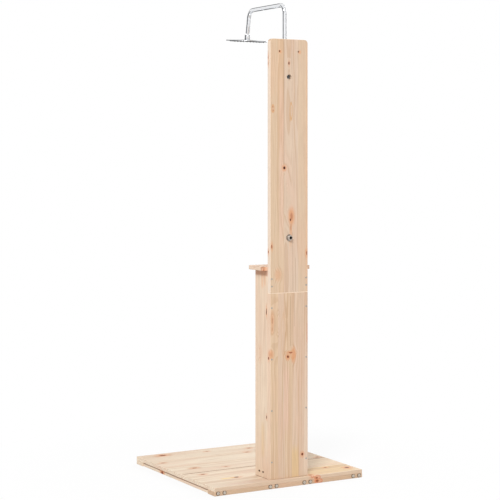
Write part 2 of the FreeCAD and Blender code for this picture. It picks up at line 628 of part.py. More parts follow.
# water inlet through the board
nippleLength = "inlet_socket_depth + back_board_thickness + inlet_projection"
nipple = turned("inlet_nipple", [
    ("inlet_bore_radius", "0"), ("inlet_body_radius", "0"),
    ("inlet_body_radius", nippleLength + " - inlet_thread_length"),
    ("inlet_thread_radius", nippleLength + " - inlet_thread_length"),
    ("inlet_thread_radius", nippleLength), ("inlet_bore_radius", nippleLength)])
place(nipple, "0", "board_front - inlet_socket_depth", "valve_height", **towardBack)
finish("inlet_nipple", nipple)
inletWasher = ring("inlet_washer", "inlet_washer_radius", "inlet_body_radius + fixed_clearance",
                   "inlet_washer_thickness")
place(inletWasher, "0", "column_back", "valve_height", **towardBack)
finish("inlet_washer", inletWasher)
nutForm = hexagon("inlet_nut_form", "inlet_nut_across", "inlet_nut_thickness",
                  "0", "column_back + inlet_washer_thickness", "valve_height", **towardBack)
nutBore = cylinder("inlet_nut_bore", "inlet_body_radius + pipe_fit",
                   "inlet_nut_thickness + 2 * cut_overrun",
                   "0", "column_back + inlet_washer_thickness - cut_overrun", "valve_height",
                   **towardBack)
finish("inlet_locknut", cut("inlet_locknut_cut", nutForm, nutBore))

# valve
barrel = cylinder("valve_barrel", "valve_body_radius", "valve_body_length",
                  "0", "valve_front", "valve_height", **towardBack)
outlet = cylinder("valve_outlet", "outlet_radius", "outlet_rise", "0", "riser_place", "valve_height")
inletSocket = cylinder("valve_inlet_socket", "inlet_body_radius + pipe_fit",
                       "inlet_socket_depth + cut_overrun",
                       "0", "board_front - inlet_socket_depth", "valve_height", **towardBack)
inletPort = cylinder("valve_inlet_port", "valve_port_radius", "valve_seat_depth + cut_overrun",
                     "0", "valve_seat - cut_overrun", "valve_height", **towardBack)
chamber = cylinder("valve_chamber", "chamber_radius",
                   "valve_body_length - valve_seat_depth + cut_overrun",
                   "0", "valve_front - cut_overrun", "valve_height", **towardBack)
outletPort = cylinder("valve_outlet_port", "valve_port_radius", "outlet_rise + cut_overrun",
                      "0", "riser_place", "valve_height")
outletSocket = cylinder("valve_outlet_socket", "pipe_radius + pipe_fit",
                        "outlet_socket_depth + cut_overrun",
                        "0", "riser_place", "riser_foot")
finish("valve_body", cut("valve_body_cut", fuse("valve_form", barrel, outlet), inletSocket, inletPort,
                         chamber, outletPort, outletSocket))

olive = turned("compression_olive", [
    ("pipe_radius + pipe_fit", "0"), ("outlet_radius - pipe_fit", "0"),
    ("pipe_radius + olive_thickness", "olive_height / 2"),
    ("pipe_radius + olive_thickness / 2", "olive_height"), ("pipe_radius + pipe_fit", "olive_height")])
place(olive, "0", "riser_place", "outlet_top")
finish("compression_olive", olive)
nutShell = hexagon("union_form", "union_nut_across", "union_nut_length",
                   "0", "riser_place", "union_nut_foot")
nutThread = cylinder("union_thread", "outlet_radius + pipe_fit", "union_nut_length - union_nut_lip",
                     "0", "riser_place", "union_nut_foot")
nutPipe = cylinder("union_pipe_hole", "pipe_radius + fixed_clearance",
                   "union_nut_length + 2 * cut_overrun",
                   "0", "riser_place", "union_nut_foot - cut_overrun")
finish("union_nut", cut("union_nut_cut", nutShell, nutThread, nutPipe))

seal = ring("cartridge_seal", "cartridge_radius", "valve_port_radius", "cartridge_seal_thickness")
place(seal, "0", "valve_seat", "valve_height", **towardFront)
finish("cartridge_seal", seal)
cartridgeLength = "cartridge_back - valve_front"
sleeve = turned("cartridge_form", [
    ("cartridge_bore", "0"), ("cartridge_radius", "0"), ("cartridge_radius", cartridgeLength),
    ("spindle_radius + running_clearance", cartridgeLength),
    ("spindle_radius + running_clearance", cartridgeLength + " - cartridge_nose"),
    ("cartridge_bore", cartridgeLength + " - cartridge_nose")])
place(sleeve, "0", "cartridge_back", "valve_height", **towardFront)
window = doc.addObject("Part::Box", "cartridge_window")
bind(window, Length="window_width", Width="window_length", Height="2 * chamber_radius + 2 * cut_overrun")
place(window, "-window_width / 2", "flange_back - window_length / 2",
      "valve_height - chamber_radius - cut_overrun")
finish("cartridge_body", cut("cartridge_body_cut", sleeve, window))


def sectorPorts(label, back, thickness, middle):
    """Two opposed sector tools through a disc, the first centred that many degrees up from +X."""
    tools = []
    for opposite in (0, 180):
        tool = doc.addObject("Part::Cylinder", "%s_port_%d" % (label, opposite))
        turn = FreeCAD.Rotation(vec(1, 0, 0), 90).multiply(
            FreeCAD.Rotation(vec(0, 0, 1), middle + opposite - size("disc_port_angle") / 2))
        bind(tool, Radius="valve_port_radius - disc_gap", Height=thickness + " + 2 * cut_overrun",
             Angle="disc_port_angle * 1deg")
        place(tool, "0", back + " + cut_overrun", "valve_height", turn.Axis, math.degrees(turn.Angle))
        tools.append(tool)
    return tools


def ceramicDisc(label, back, middle):
    """A disc with two opposed ports. A pair of them shuts the water off when a quarter turn apart."""
    blank = cylinder(label + "_blank", "disc_radius", "disc_thickness", "0", back, "valve_height",
                     **towardFront)
    hub = cylinder(label + "_hub", "disc_hub_radius", "disc_thickness", "0", back, "valve_height",
                   **towardFront)
    ports = sectorPorts(label, back, "disc_thickness", middle)
    finish(label, fuse(label + "_form", cut(label + "_cut", blank, *ports), hub))


ceramicDisc("fixed_ceramic_disc", "cartridge_back", 90)
ceramicDisc("moving_ceramic_disc", "cartridge_back - disc_thickness - disc_gap", 0)

flange = cylinder("spindle_flange", "disc_radius", "spindle_flange_thickness",
                  "0", "flange_back", "valve_height", **towardFront)
stem = cylinder("spindle_stem", "spindle_radius", "flange_back - hub_back + hub_socket_depth",
                "0", "flange_back", "valve_height", **towardFront)
spindleThread = cylinder("spindle_thread", "lever_screw_radius + pipe_fit", "hub_socket_depth",
                         "0", "hub_back", "valve_height", **towardFront)
flangePorts = sectorPorts("spindle_flange", "flange_back", "spindle_flange_thickness", 0)
finish("valve_spindle", cut("valve_spindle_cut",
                            fuse("spindle_form", cut("flange_cut", flange, *flangePorts), stem),
                            spindleThread))

bonnetForm = hexagon("bonnet_form", "bonnet_across", "bonnet_thickness",
                     "0", "valve_front", "valve_height", **towardFront)
bonnetBore = cylinder("bonnet_bore", "spindle_radius + running_clearance",
                      "bonnet_thickness + 2 * cut_overrun",
                      "0", "valve_front + cut_overrun", "valve_height", **towardFront)
finish("bonnet_nut", cut("bonnet_nut_cut", bonnetForm, bonnetBore))

# lever
hub = cylinder("lever_hub", "hub_radius", "hub_length", "0", "hub_back", "valve_height", **towardFront)
blade = doc.addObject("Part::Cone", "lever_blade")
bind(blade, Radius1="lever_root_radius", Radius2="lever_tip_radius", Height="lever_length")
tip = doc.addObject("Part::Sphere", "lever_tip")
bind(tip, Radius="lever_tip_radius")
down = FreeCAD.Rotation(vec(1, 0, 0), 180 - size("lever_lean"))
hubMiddle = vec(0, worth("hub_back - hub_length / 2"), size("valve_height"))
blade.Placement = FreeCAD.Placement(hubMiddle, down)
tip.Placement = FreeCAD.Placement(hubMiddle + down.multVec(vec(0, 0, size("lever_length"))), down)
hubSocket = cylinder("lever_socket", "spindle_radius + pipe_fit", "hub_socket_depth",
                     "0", "hub_back", "valve_height", **towardFront)
screwWay = cylinder("lever_screw_way", "lever_screw_radius + fixed_clearance",
                    "hub_length + cut_overrun",
                    "0", "hub_back", "valve_height", **towardFront)
capWay = cylinder("lever_cap_way", "lever_cap_radius + fixed_clearance", "hub_length",
                  "0", "screw_head_seat", "valve_height", **towardFront)
finish("valve_lever", cut("valve_lever_cut", fuse("lever_form", hub, blade, tip),
                          hubSocket, screwWay, capWay))
screwHead = cylinder("lever_screw_head", "lever_screw_head_radius", "lever_screw_head_height",
                     "0", "screw_head_seat", "valve_height", **towardFront)
screwShank = cylinder("lever_screw_shank", "lever_screw_radius",
                      "hub_back - lever_screw_grip - screw_head_seat",
                      "0", "hub_back - lever_screw_grip", "valve_height", **towardFront)
finish("lever_screw", fuse("lever_screw_form", screwHead, screwShank))
capForm = turned("lever_cap", [
    ("0", "0"), ("lever_cap_radius", "0"), ("lever_cap_radius", "lever_cap_depth"),
    ("lever_cap_radius - lever_cap_dome", "lever_cap_depth + lever_cap_dome"),
    ("0", "lever_cap_depth + lever_cap_dome")])
place(capForm, "0", "hub_front + lever_cap_depth", "valve_height", **towardFront)
finish("lever_cap", capForm)

# shower head on its ball joint
ballCentre = vec(0, size("ball_place"), size("ball_height"))
seatTurn = FreeCAD.Rotation(vec(1, 0, 0), -size("head_fore_tilt"))
headTurn = seatTurn.multiply(FreeCAD.Rotation(vec(0, 1, 0), -size("head_side_tilt")))
stemTurn = FreeCAD.Rotation(vec(1, 0, 0), -size("arm_drop_angle"))


def hang(thing, turn, drop=0):
    """Place a piece drawn about the ball's centre, or about a point that far below it."""
    thing.Placement = FreeCAD.Placement(ballCentre + turn.multVec(vec(0, 0, -drop)), turn)
    return thing


ball = doc.addObject("Part::Sphere", "stem_ball")
bind(ball, Radius="ball_radius")
neck = cylinder("stem_neck", "neck_radius", "ball_drop")
stop = cylinder("stem_flange", "pipe_radius", "stem_flange_thickness",
                z="ball_drop - stem_flange_thickness")
shank = cylinder("stem_shank", "pipe_bore - pipe_fit", "stem_shank_length", z="ball_drop")
waterway = cylinder("stem_bore", "neck_bore_radius",
                    "ball_radius + ball_drop + stem_shank_length + 2 * cut_overrun",
                    z="-ball_radius - cut_overrun")
finish("ball_stem", hang(cut("ball_stem_cut", fuse("stem_form", ball, neck, stop, shank), waterway),
                         stemTurn))

seatOuter = doc.addObject("Part::Sphere", "seat_outer")
bind(seatOuter, Radius="ball_radius + ball_gap + seat_thickness", Angle1="-seat_half_angle * 1deg",
     Angle2="seat_half_angle * 1deg")
seatInner = doc.addObject("Part::Sphere", "seat_inner")
bind(seatInner, Radius="ball_radius + ball_gap")
finish("ball_seat", hang(cut("ball_seat_cut", seatOuter, seatInner), seatTurn))

nutDrop = "head_boss_rise - collar_wall_height"
collarForm = turned("collar_form", [
    ("0", nutDrop), ("collar_radius", nutDrop), ("collar_radius", "collar_rise - collar_ease"),
    ("collar_radius - collar_ease", "collar_rise"), ("0", "collar_rise")])
cavity = doc.addObject("Part::Sphere", "collar_cavity")
bind(cavity, Radius="cavity_radius")
throat = cylinder("collar_throat", "throat_radius", "collar_wall_height", z=nutDrop)
socket = cylinder("collar_socket", "boss_radius + boss_clearance",
                  "boss_length + washer_thickness + cut_overrun", z=nutDrop + " - cut_overrun")
finish("collar_nut", hang(cut("collar_nut_cut", collarForm, cavity, throat, socket), headTurn))

underside = size("collar_wall_height")
shell = turned("head_shell", [
    ("face_recess_radius", "0"), ("head_radius - head_rim_ease", "0"),
    ("head_radius", "head_rim_ease"), ("head_radius", "head_rim_thickness - head_rim_ease"),
    ("head_radius - head_rim_ease", "head_rim_thickness"),
    ("collar_radius + head_rim_thickness", "head_boss_rise"), ("boss_radius", "head_boss_rise"),
    ("boss_radius", "head_boss_rise + boss_length"),
    ("head_inlet_radius", "head_boss_rise + boss_length"),
    ("head_inlet_radius", "head_boss_rise - head_plate_thickness"),
    ("face_recess_radius", "face_recess_depth")])
finish("head_shell", hang(shell, headTurn, underside))
inletSeal = ring("head_washer", "boss_radius - fixed_clearance", "head_inlet_radius", "washer_thickness")
finish("head_washer", hang(inletSeal, headTurn,
                           underside - size("head_boss_rise") - size("boss_length")))

# The face plate has a hole for each nozzle of the soft sheet that lies behind it.
faceThickness = size("face_plate_thickness")
holes = []
nozzles = []
for ringNumber in range(int(size("nozzle_rings")) + 1):
    count = max(1, int(size("nozzles_per_ring")) * ringNumber)
    for step in range(count):
        turn = math.radians(360 * step / count)
        reach = ringNumber * size("nozzle_ring_step")
        spot = vec(reach * math.cos(turn), reach * math.sin(turn), 0)
        holes.append(Part.makeCylinder(size("nozzle_radius") + size("fixed_clearance"),
                                       faceThickness + 2 * size("cut_overrun"),
                                       spot - vec(0, 0, size("cut_overrun"))))
        nozzles.append(Part.makeCone(size("nozzle_tip_radius"), size("nozzle_radius"),
                                     size("nozzle_length") + faceThickness + size("nozzle_sheet_thickness"),
                                     spot - vec(0, 0, size("nozzle_length"))))
facePlate = doc.addObject("Part::Feature", "face_plate")
facePlate.Shape = Part.makeCylinder(size("face_radius"), faceThickness).cut(Part.makeCompound(holes))
finish("face_plate", hang(facePlate, headTurn, underside))
sheetDisc = Part.makeCylinder(size("face_radius"), size("nozzle_sheet_thickness"), vec(0, 0, faceThickness))
nozzleSheet = doc.addObject("Part::Feature", "nozzle_sheet")
nozzleSheet.Shape = sheetDisc.fuse(nozzles)
finish("nozzle_sheet", hang(nozzleSheet, headTurn, underside))

# checks and export
doc.recompute()
faults = [item.Name for item in doc.Objects if {"Invalid", "Error"} & set(item.State)]
for label, thing in subParts.items():
    if thing.Label != label or thing.Shape.isNull() or not thing.Shape.isValid():
        faults.append(label)
    if thing.Shape.Volume <= 0:
        faults.append(label + " is empty")
if faults:
    raise RuntimeError("not built: " + ", ".join(faults))
for label, thing in subParts.items():
    thing.Shape.exportStep("parts/%s.step" % label)
print(len(subParts), "sub-parts written")
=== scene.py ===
# Outdoor shower post: a pine deck and column with a chrome riser, valve and rain head.
# Metres. +Z is up, the bather stands on the -Y side and the column stands at the +Y edge.
import bpy
import bmesh
import json
import math
import random
from mathutils import Matrix, Vector

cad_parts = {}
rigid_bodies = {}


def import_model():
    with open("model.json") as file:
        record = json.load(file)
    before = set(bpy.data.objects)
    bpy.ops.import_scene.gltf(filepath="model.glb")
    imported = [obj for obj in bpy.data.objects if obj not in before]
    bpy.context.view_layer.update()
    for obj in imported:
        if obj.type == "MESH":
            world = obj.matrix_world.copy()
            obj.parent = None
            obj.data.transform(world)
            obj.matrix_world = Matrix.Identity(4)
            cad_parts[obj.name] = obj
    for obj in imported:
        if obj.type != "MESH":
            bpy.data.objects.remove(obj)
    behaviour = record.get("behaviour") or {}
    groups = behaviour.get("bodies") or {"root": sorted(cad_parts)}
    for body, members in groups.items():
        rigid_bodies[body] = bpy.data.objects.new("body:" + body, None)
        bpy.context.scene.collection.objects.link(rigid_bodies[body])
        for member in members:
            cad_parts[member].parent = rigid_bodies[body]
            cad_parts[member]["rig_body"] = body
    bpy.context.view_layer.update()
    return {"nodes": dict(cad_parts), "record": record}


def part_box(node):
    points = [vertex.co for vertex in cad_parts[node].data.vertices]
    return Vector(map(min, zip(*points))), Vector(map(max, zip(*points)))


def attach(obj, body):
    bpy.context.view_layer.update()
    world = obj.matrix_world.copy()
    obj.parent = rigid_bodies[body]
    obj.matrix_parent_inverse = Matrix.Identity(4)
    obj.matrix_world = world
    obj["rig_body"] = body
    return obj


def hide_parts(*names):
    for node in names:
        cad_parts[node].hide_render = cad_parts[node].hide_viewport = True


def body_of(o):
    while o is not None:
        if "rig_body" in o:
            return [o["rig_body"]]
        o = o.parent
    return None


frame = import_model()
nodes = frame["nodes"]
scene = bpy.context.scene
print("frame loaded,", len(nodes), "nodes")


# camera, at the photograph's place: behind the post and a little to one side

cameraLook = {"place": (3.460, 6.040, 1.4865), "turn": 150.076, "lens": 105.08, "shiftY": -0.1824}

cameraData = bpy.data.cameras.new("camera")
cameraData.sensor_width = 36
cameraData.lens = cameraLook["lens"]
cameraData.shift_y = cameraLook["shiftY"]
camera = bpy.data.objects.new("camera", cameraData)
camera.location = cameraLook["place"]
camera.rotation_euler = (math.radians(90), 0, math.radians(cameraLook["turn"]))
scene.collection.objects.link(camera)
scene.camera = camera
print("camera placed")


# shader helpers

def plug(tree, socket, value):
    if isinstance(value, bpy.types.NodeSocket):
        tree.links.new(value, socket)
    else:
        socket.default_value = value


def sums(tree, operation, *values):
    node = tree.nodes.new("ShaderNodeMath")
    node.operation = operation
    for socket, value in zip(node.inputs, values):
        plug(tree, socket, value)
    return node.outputs[0]


def arrows(tree, operation, *values):
    node = tree.nodes.new("ShaderNodeVectorMath")
    node.operation = operation
    for socket, value in zip(node.inputs, values):
        plug(tree, socket, value)
    return node.outputs["Value" if operation == "LENGTH" else "Vector"]


def splitUp(tree, vector):
    node = tree.nodes.new("ShaderNodeSeparateXYZ")
    plug(tree, node.inputs[0], vector)
    return node.outputs


def joined(tree, *values):
    node = tree.nodes.new("ShaderNodeCombineXYZ")
    for socket, value in zip(node.inputs, values):
        plug(tree, socket, value)
    return node.outputs[0]


def gapFrom(tree, value, place):
    return sums(tree, "ABSOLUTE", sums(tree, "SUBTRACT", value, place))


def tossed(tree, number):  # a random value and a random colour for each whole number
    node = tree.nodes.new("ShaderNodeTexWhiteNoise")
    node.noise_dimensions = "1D"
    plug(tree, node.inputs["W"], number)
    return node.outputs["Value"], node.outputs["Color"]


def grade(tree, value, low, high, start=0.0, end=1.0):
    node = tree.nodes.new("ShaderNodeMapRange")
    node.interpolation_type = "SMOOTHSTEP"
    for socket, entry in zip(node.inputs, (value, low, high, start, end)):
        plug(tree, socket, entry)
    return node.outputs[0]


def speckle(tree, where, stretch, detail=2.0, shift=(0.0, 0.0, 0.0)):
    node = tree.nodes.new("ShaderNodeTexNoise")
    stretched = arrows(tree, "MULTIPLY", where, stretch)
    plug(tree, node.inputs["Vector"], arrows(tree, "ADD", stretched, shift))
    node.inputs["Scale"].default_value = 1.0
    node.inputs["Detail"].default_value = detail
    return node.outputs[0]


def blendColour(tree, factor, under, over, mode="MIX"):
    node = tree.nodes.new("ShaderNodeMix")
    node.data_type = "RGBA"
    node.blend_type = mode
    for place, entry in ((0, factor), (6, under), (7, over)):
        plug(tree, node.inputs[place], entry)
    return node.outputs[2]


def tint(red, green, blue):  # a screen colour, 0 to 255, as the shader's linear one
    return tuple((c / 255 / 12.92) if c < 11 else ((c / 255 + 0.055) / 1.055) ** 2.4
                 for c in (red, green, blue)) + (1.0,)


def startMaterial(name, colour, roughness, metallic=0.0, specular=0.5):
    material = bpy.data.materials.new(name)
    material.use_nodes = True
    tree = material.node_tree
    surface = tree.nodes["Principled BSDF"]
    surface.inputs["Base Color"].default_value = colour
    surface.inputs["Roughness"].default_value = roughness
    surface.inputs["Metallic"].default_value = metallic
    surface.inputs["Specular IOR Level"].default_value = specular
    return material, tree, surface


def roughen(tree, surface, height, depth, strength):
    bump = tree.nodes.new("ShaderNodeBump")
    bump.inputs["Strength"].default_value = strength
    bump.inputs["Distance"].default_value = depth
    plug(tree, bump.inputs["Height"], height)
    plug(tree, surface.inputs["Normal"], bump.outputs["Normal"])


# pine: growth rings round a pith that lies beside each glued strip, bulging round its knots

pineLook = {
    # pith of each strip, each as a spread and a start
    "pithAcross": (0.10, -0.05), "pithLean": (0.05, -0.025), "pithDepth": (0.05, 0.030),
    # rings
    "ringWidth": 0.0046, "ringContrast": 0.42, "wobble": 0.020, "wobbleStretch": (11.0, 1.5, 11.0),
    "lateRise": (0.25, 0.88), "lateFall": (1.0, 0.93), "lateWeight": (0.35, 1.0),
    # fibres, streaks and patches
    "fibreContrast": 0.10, "fibreLift": 0.4, "fibreStretch": (900.0, 14.0, 900.0),
    "fibreSpan": (0.25, 0.75),
    "streakContrast": 0.30, "streakScale": (75.0, 1.4, 60.0), "streakSpan": (0.50, 0.74),
    "patchShare": 0.32, "patchStretch": (11.0, 2.6, 9.0), "patchSpan": (0.46, 0.72),
    "honeyShare": (0.12, 0.30), "honeySpan": (0.45, 1.0),
    # knots, in half sizes from their centre: core, halo, bulge and coil of the rings
    "ruffle": (0.006, 0.008, 0.0), "ruffleStretch": (70.0, 45.0, 20.0),
    "coreSpan": (1.15, 0.55), "haloSpan": (3.2, 0.9), "bulgeSpan": (4.0, 0.4), "bulge": 0.9,
    "coilSpan": (1.4, 0.0), "coil": 3.0, "knotSpan": (0.0, 0.6), "heartSpan": (0.5, 1.0),
    "eyeHalf": 0.34,
    # bands, rims, lines and painted shade round screw heads
    "bandBlur": 0.002, "bandFade": (1.3, 0.7), "edgeShare": 0.75, "rimSpan": (0.0022, 0.0004),
    "lineBend": 0.003, "lineStretch": (0.0, 9.0, 0.0), "lineBlur": 0.3, "lineFade": 0.9,
    "screwShadeRadius": 0.0082, "screwShadeHalf": 0.0036, "screwShadeShare": 0.9,
    # colours
    "lateWood": tint(190, 152, 118), "streak": tint(202, 163, 132), "blush": tint(224, 182, 160),
    "honey": tint(218, 186, 138), "halo": tint(214, 146, 100), "knot": tint(150, 82, 50),
    "heart": tint(58, 30, 18), "crackAndShade": tint(146, 104, 78), "screwShade": tint(58, 42, 34),
    # surface
    "roughness": 0.62, "roughSpan": (0.2, 0.8), "roughFrom": 0.55, "roughTo": 0.70,
    "bump": 0.00025, "bumpStrength": 0.35, "fibreHeight": 0.6, "specular": 0.3,
}


def stripNumbers(tree, across, strips, seed):  # three random numbers for each glued strip
    number = float(seed)
    for edge in strips:
        number = sums(tree, "ADD", sums(tree, "GREATER_THAN", across, edge), number)
    parts = tree.nodes.new("ShaderNodeSeparateColor")
    plug(tree, parts.inputs[0], tossed(tree, number)[1])
    return parts.outputs[:3]


def ruffledPlace(tree, place):  # small waves keep the knots from being plain ovals
    waves = tree.nodes.new("ShaderNodeTexNoise")
    plug(tree, waves.inputs["Vector"], arrows(tree, "MULTIPLY", place, pineLook["ruffleStretch"]))
    waves.inputs["Scale"].default_value = 1.0
    return arrows(tree, "MULTIPLY_ADD", waves.outputs["Color"], pineLook["ruffle"], place)


def awayFrom(tree, ruffled, centre, spotAcross, spotAlong, wide, long, depth):  # in half sizes
    height, deep = (depth[0] - centre[2], 1 / depth[1]) if depth else (0.0, 0.0)
    spot = (spotAcross - centre[0] + pineLook["ruffle"][0] / 2,
            spotAlong - centre[1] + pineLook["ruffle"][1] / 2, height)
    offset = arrows(tree, "SUBTRACT", ruffled, spot)
    return arrows(tree, "LENGTH", arrows(tree, "MULTIPLY", offset, (1 / wide, 1 / long, deep)))


def knotShades(tree, ruffled, centre, knots):  # cores and halos, and how the rings bulge and coil
    core, halo, bulge, coil = 0.0, 0.0, 0.0, 0.0
    for knotAcross, knotAlong, wide, long, dark, glow, *depth in knots:
        away = awayFrom(tree, ruffled, centre, knotAcross, knotAlong, wide, long, depth)
        core = sums(tree, "MAXIMUM", core, grade(tree, away, *pineLook["coreSpan"], 0.0, dark))
        halo = sums(tree, "MAXIMUM", halo, grade(tree, away, *pineLook["haloSpan"], 0.0, glow))
        swell = grade(tree, away, *pineLook["bulgeSpan"], 0.0, pineLook["bulge"] * wide)
        bulge = sums(tree, "ADD", bulge, swell)
        coil = sums(tree, "ADD", coil, grade(tree, away, *pineLook["coilSpan"], 0.0, pineLook["coil"]))
    return core, halo, bulge, coil


def lateRings(tree, place, stripDice, bulge, coil, ringWidth, shift):  # the rings' dark late wood
    across, along, through = splitUp(tree, place)
    pithAcross = sums(tree, "MULTIPLY_ADD", stripDice[0], *pineLook["pithAcross"])
    pithLean = sums(tree, "MULTIPLY_ADD", stripDice[1], *pineLook["pithLean"])
    pithDepth = sums(tree, "MULTIPLY_ADD", stripDice[2], *pineLook["pithDepth"])
    lean = sums(tree, "MULTIPLY_ADD", along, pithLean, pithAcross)
    side = sums(tree, "SUBTRACT", across, lean)
    deep = sums(tree, "ADD", through, pithDepth)
    radius = arrows(tree, "LENGTH", joined(tree, side, deep))
    wobble = speckle(tree, place, pineLook["wobbleStretch"], 2.0, shift)
    radius = sums(tree, "MULTIPLY_ADD", wobble, pineLook["wobble"], radius)
    radius = sums(tree, "ADD", radius, bulge)
    turns = sums(tree, "ADD", sums(tree, "DIVIDE", radius, ringWidth), coil)
    phase = sums(tree, "FRACT", turns)
    late = sums(tree, "MULTIPLY", grade(tree, phase, *pineLook["lateRise"]),
                grade(tree, phase, *pineLook["lateFall"]))
    bold = tossed(tree, sums(tree, "FLOOR", turns))[0]
    return sums(tree, "MULTIPLY", late, grade(tree, bold, 0.0, 1.0, *pineLook["lateWeight"]))


def banded(tree, colour, across, along, centre, bands):
    fadeFrom, fadeTo = pineLook["bandFade"]
    for bandAcross, half, bandAlong, reach, bandTone, share in bands:
        near = gapFrom(tree, across, bandAcross - centre[0])
        far = gapFrom(tree, along, bandAlong - centre[1])
        inside = sums(tree, "MULTIPLY", grade(tree, near, half + pineLook["bandBlur"], half),
                      grade(tree, far, reach * fadeFrom, reach * fadeTo))
        colour = blendColour(tree, sums(tree, "MULTIPLY", inside, share), colour, bandTone)
    return colour


def rimmed(tree, colour, rimColour, value, half):  # a tone along both edges
    if not rimColour:
        return colour
    rimFrom, rimTo = pineLook["rimSpan"]
    rim = grade(tree, sums(tree, "ABSOLUTE", value), half - rimFrom, half - rimTo)
    return blendColour(tree, sums(tree, "MULTIPLY", rim, pineLook["edgeShare"]), colour, rimColour)


def fibred(tree, colour, fibre):
    shade = grade(tree, fibre, *pineLook["fibreSpan"], 1.0 - pineLook["fibreContrast"],
                  1.0 + pineLook["fibreLift"] * pineLook["fibreContrast"])
    grey = tree.nodes.new("ShaderNodeCombineColor")
    for socket in grey.inputs[:3]:
        plug(tree, socket, shade)
    return blendColour(tree, 1.0, colour, grey.outputs[0], "MULTIPLY")


def crackedAndShaded(tree, colour, place, centre, lines, shift):
    across, along = splitUp(tree, place)[:2]
    for lineAcross, lineAlong, half, reach, dark in lines:
        bend = sums(tree, "MULTIPLY_ADD", speckle(tree, place, pineLook["lineStretch"], 1.0, shift),
                    pineLook["lineBend"], -pineLook["lineBend"] / 2)
        near = gapFrom(tree, sums(tree, "ADD", across, bend), lineAcross - centre[0])
        far = gapFrom(tree, along, lineAlong - centre[1])
        mark = sums(tree, "MULTIPLY", grade(tree, near, half, half * pineLook["lineBlur"]),
                    grade(tree, far, reach, reach * pineLook["lineFade"]))
        colour = blendColour(tree, sums(tree, "MULTIPLY", mark, dark), colour, pineLook["crackAndShade"])
    return colour


def eyed(tree, colour, ruffled, centre, eyes):
    for eyeAcross, eyeAlong, wide, long, share, eyeTone, *depth in eyes:
        away = awayFrom(tree, ruffled, centre, eyeAcross, eyeAlong, wide, long, depth)
        outline = grade(tree, gapFrom(tree, away, 1.0), pineLook["eyeHalf"], 0.0, 0.0, share)
        colour = blendColour(tree, outline, colour, eyeTone)
    return colour


def screwShaded(tree, colour, place, centre, screwShades):  # a painted shade ring round each large screw head in a face
    for shadeAlong, shadeHeight in screwShades:
        spot = (0.0, shadeAlong - centre[1], shadeHeight - centre[2])
        onFace = arrows(tree, "MULTIPLY", place, (0, 1, 1))
        away = arrows(tree, "LENGTH", arrows(tree, "SUBTRACT", onFace, spot))
        ring = grade(tree, gapFrom(tree, away, pineLook["screwShadeRadius"]), pineLook["screwShadeHalf"], 0.0,
                     0.0, pineLook["screwShadeShare"])
        colour = blendColour(tree, ring, colour, pineLook["screwShade"])
    return colour


def pineMaterial(name, axes, middle, extent, tone, strips=(), knots=(), eyes=(), lines=(), bands=(),
                 screwShades=(), seed=1, edgeTone=None, endHighlight=None, ringWidth=pineLook["ringWidth"],
                 ringContrast=pineLook["ringContrast"], streakScale=pineLook["streakScale"],
                 streakContrast=pineLook["streakContrast"]):
    dice = random.Random(seed)
    shift = tuple(dice.uniform(-40, 40) for _ in range(3))
    material, tree, surface = startMaterial("pine_" + name, tone, pineLook["roughness"],
                                            specular=pineLook["specular"])
    objectPlace = splitUp(tree, tree.nodes.new("ShaderNodeTexCoord").outputs["Object"])
    order = ["XYZ".index(letter) for letter in axes]
    centre = [middle[n] for n in order]
    place = joined(tree, *[sums(tree, "SUBTRACT", objectPlace[n], middle[n]) for n in order])
    across, along = splitUp(tree, place)[:2]
    stripDice = stripNumbers(tree, across, strips, seed)
    ruffled = ruffledPlace(tree, place)
    core, halo, bulge, coil = knotShades(tree, ruffled, centre, knots)
    late = lateRings(tree, place, stripDice, bulge, coil, ringWidth, shift)

    # wood, from its base tone up
    patch = speckle(tree, place, pineLook["patchStretch"], 2.0, shift)
    blush = grade(tree, patch, *pineLook["patchSpan"], 0.0, pineLook["patchShare"])
    colour = blendColour(tree, blush, tone, pineLook["blush"])
    honeyMost = pineLook["honeyShare"][1 if strips else 0]
    honey = grade(tree, stripDice[0], *pineLook["honeySpan"], 0.0, honeyMost)
    colour = blendColour(tree, honey, colour, pineLook["honey"])
    colour = banded(tree, colour, across, along, centre, bands)
    streak = speckle(tree, place, streakScale, 3.0, shift)
    streaked = grade(tree, streak, *pineLook["streakSpan"], 0.0, streakContrast)
    colour = blendColour(tree, streaked, colour, pineLook["streak"])
    colour = blendColour(tree, sums(tree, "MULTIPLY", late, ringContrast), colour, pineLook["lateWood"])
    colour = rimmed(tree, colour, edgeTone, across, extent[order[0]] / 2)
    # a painted highlight along the board's two ends, for light on the chamfers where the boards meet
    colour = rimmed(tree, colour, endHighlight, along, extent[order[1]] / 2)
    fibre = speckle(tree, place, pineLook["fibreStretch"], 2.0, shift)
    colour = fibred(tree, colour, fibre)

    # marks
    colour = crackedAndShaded(tree, colour, place, centre, lines, shift)
    colour = eyed(tree, colour, ruffled, centre, eyes)
    colour = screwShaded(tree, colour, place, centre, screwShades)
    if knots:
        colour = blendColour(tree, halo, colour, pineLook["halo"])
        for part in ("knot", "heart"):
            shown = grade(tree, core, *pineLook[part + "Span"])
            colour = blendColour(tree, shown, colour, pineLook[part])

    plug(tree, surface.inputs["Base Color"], colour)
    rough = grade(tree, fibre, *pineLook["roughSpan"], pineLook["roughFrom"], pineLook["roughTo"])
    plug(tree, surface.inputs["Roughness"], rough)
    height = sums(tree, "MULTIPLY_ADD", fibre, pineLook["fibreHeight"], late)
    roughen(tree, surface, height, pineLook["bump"], pineLook["bumpStrength"])
    return material


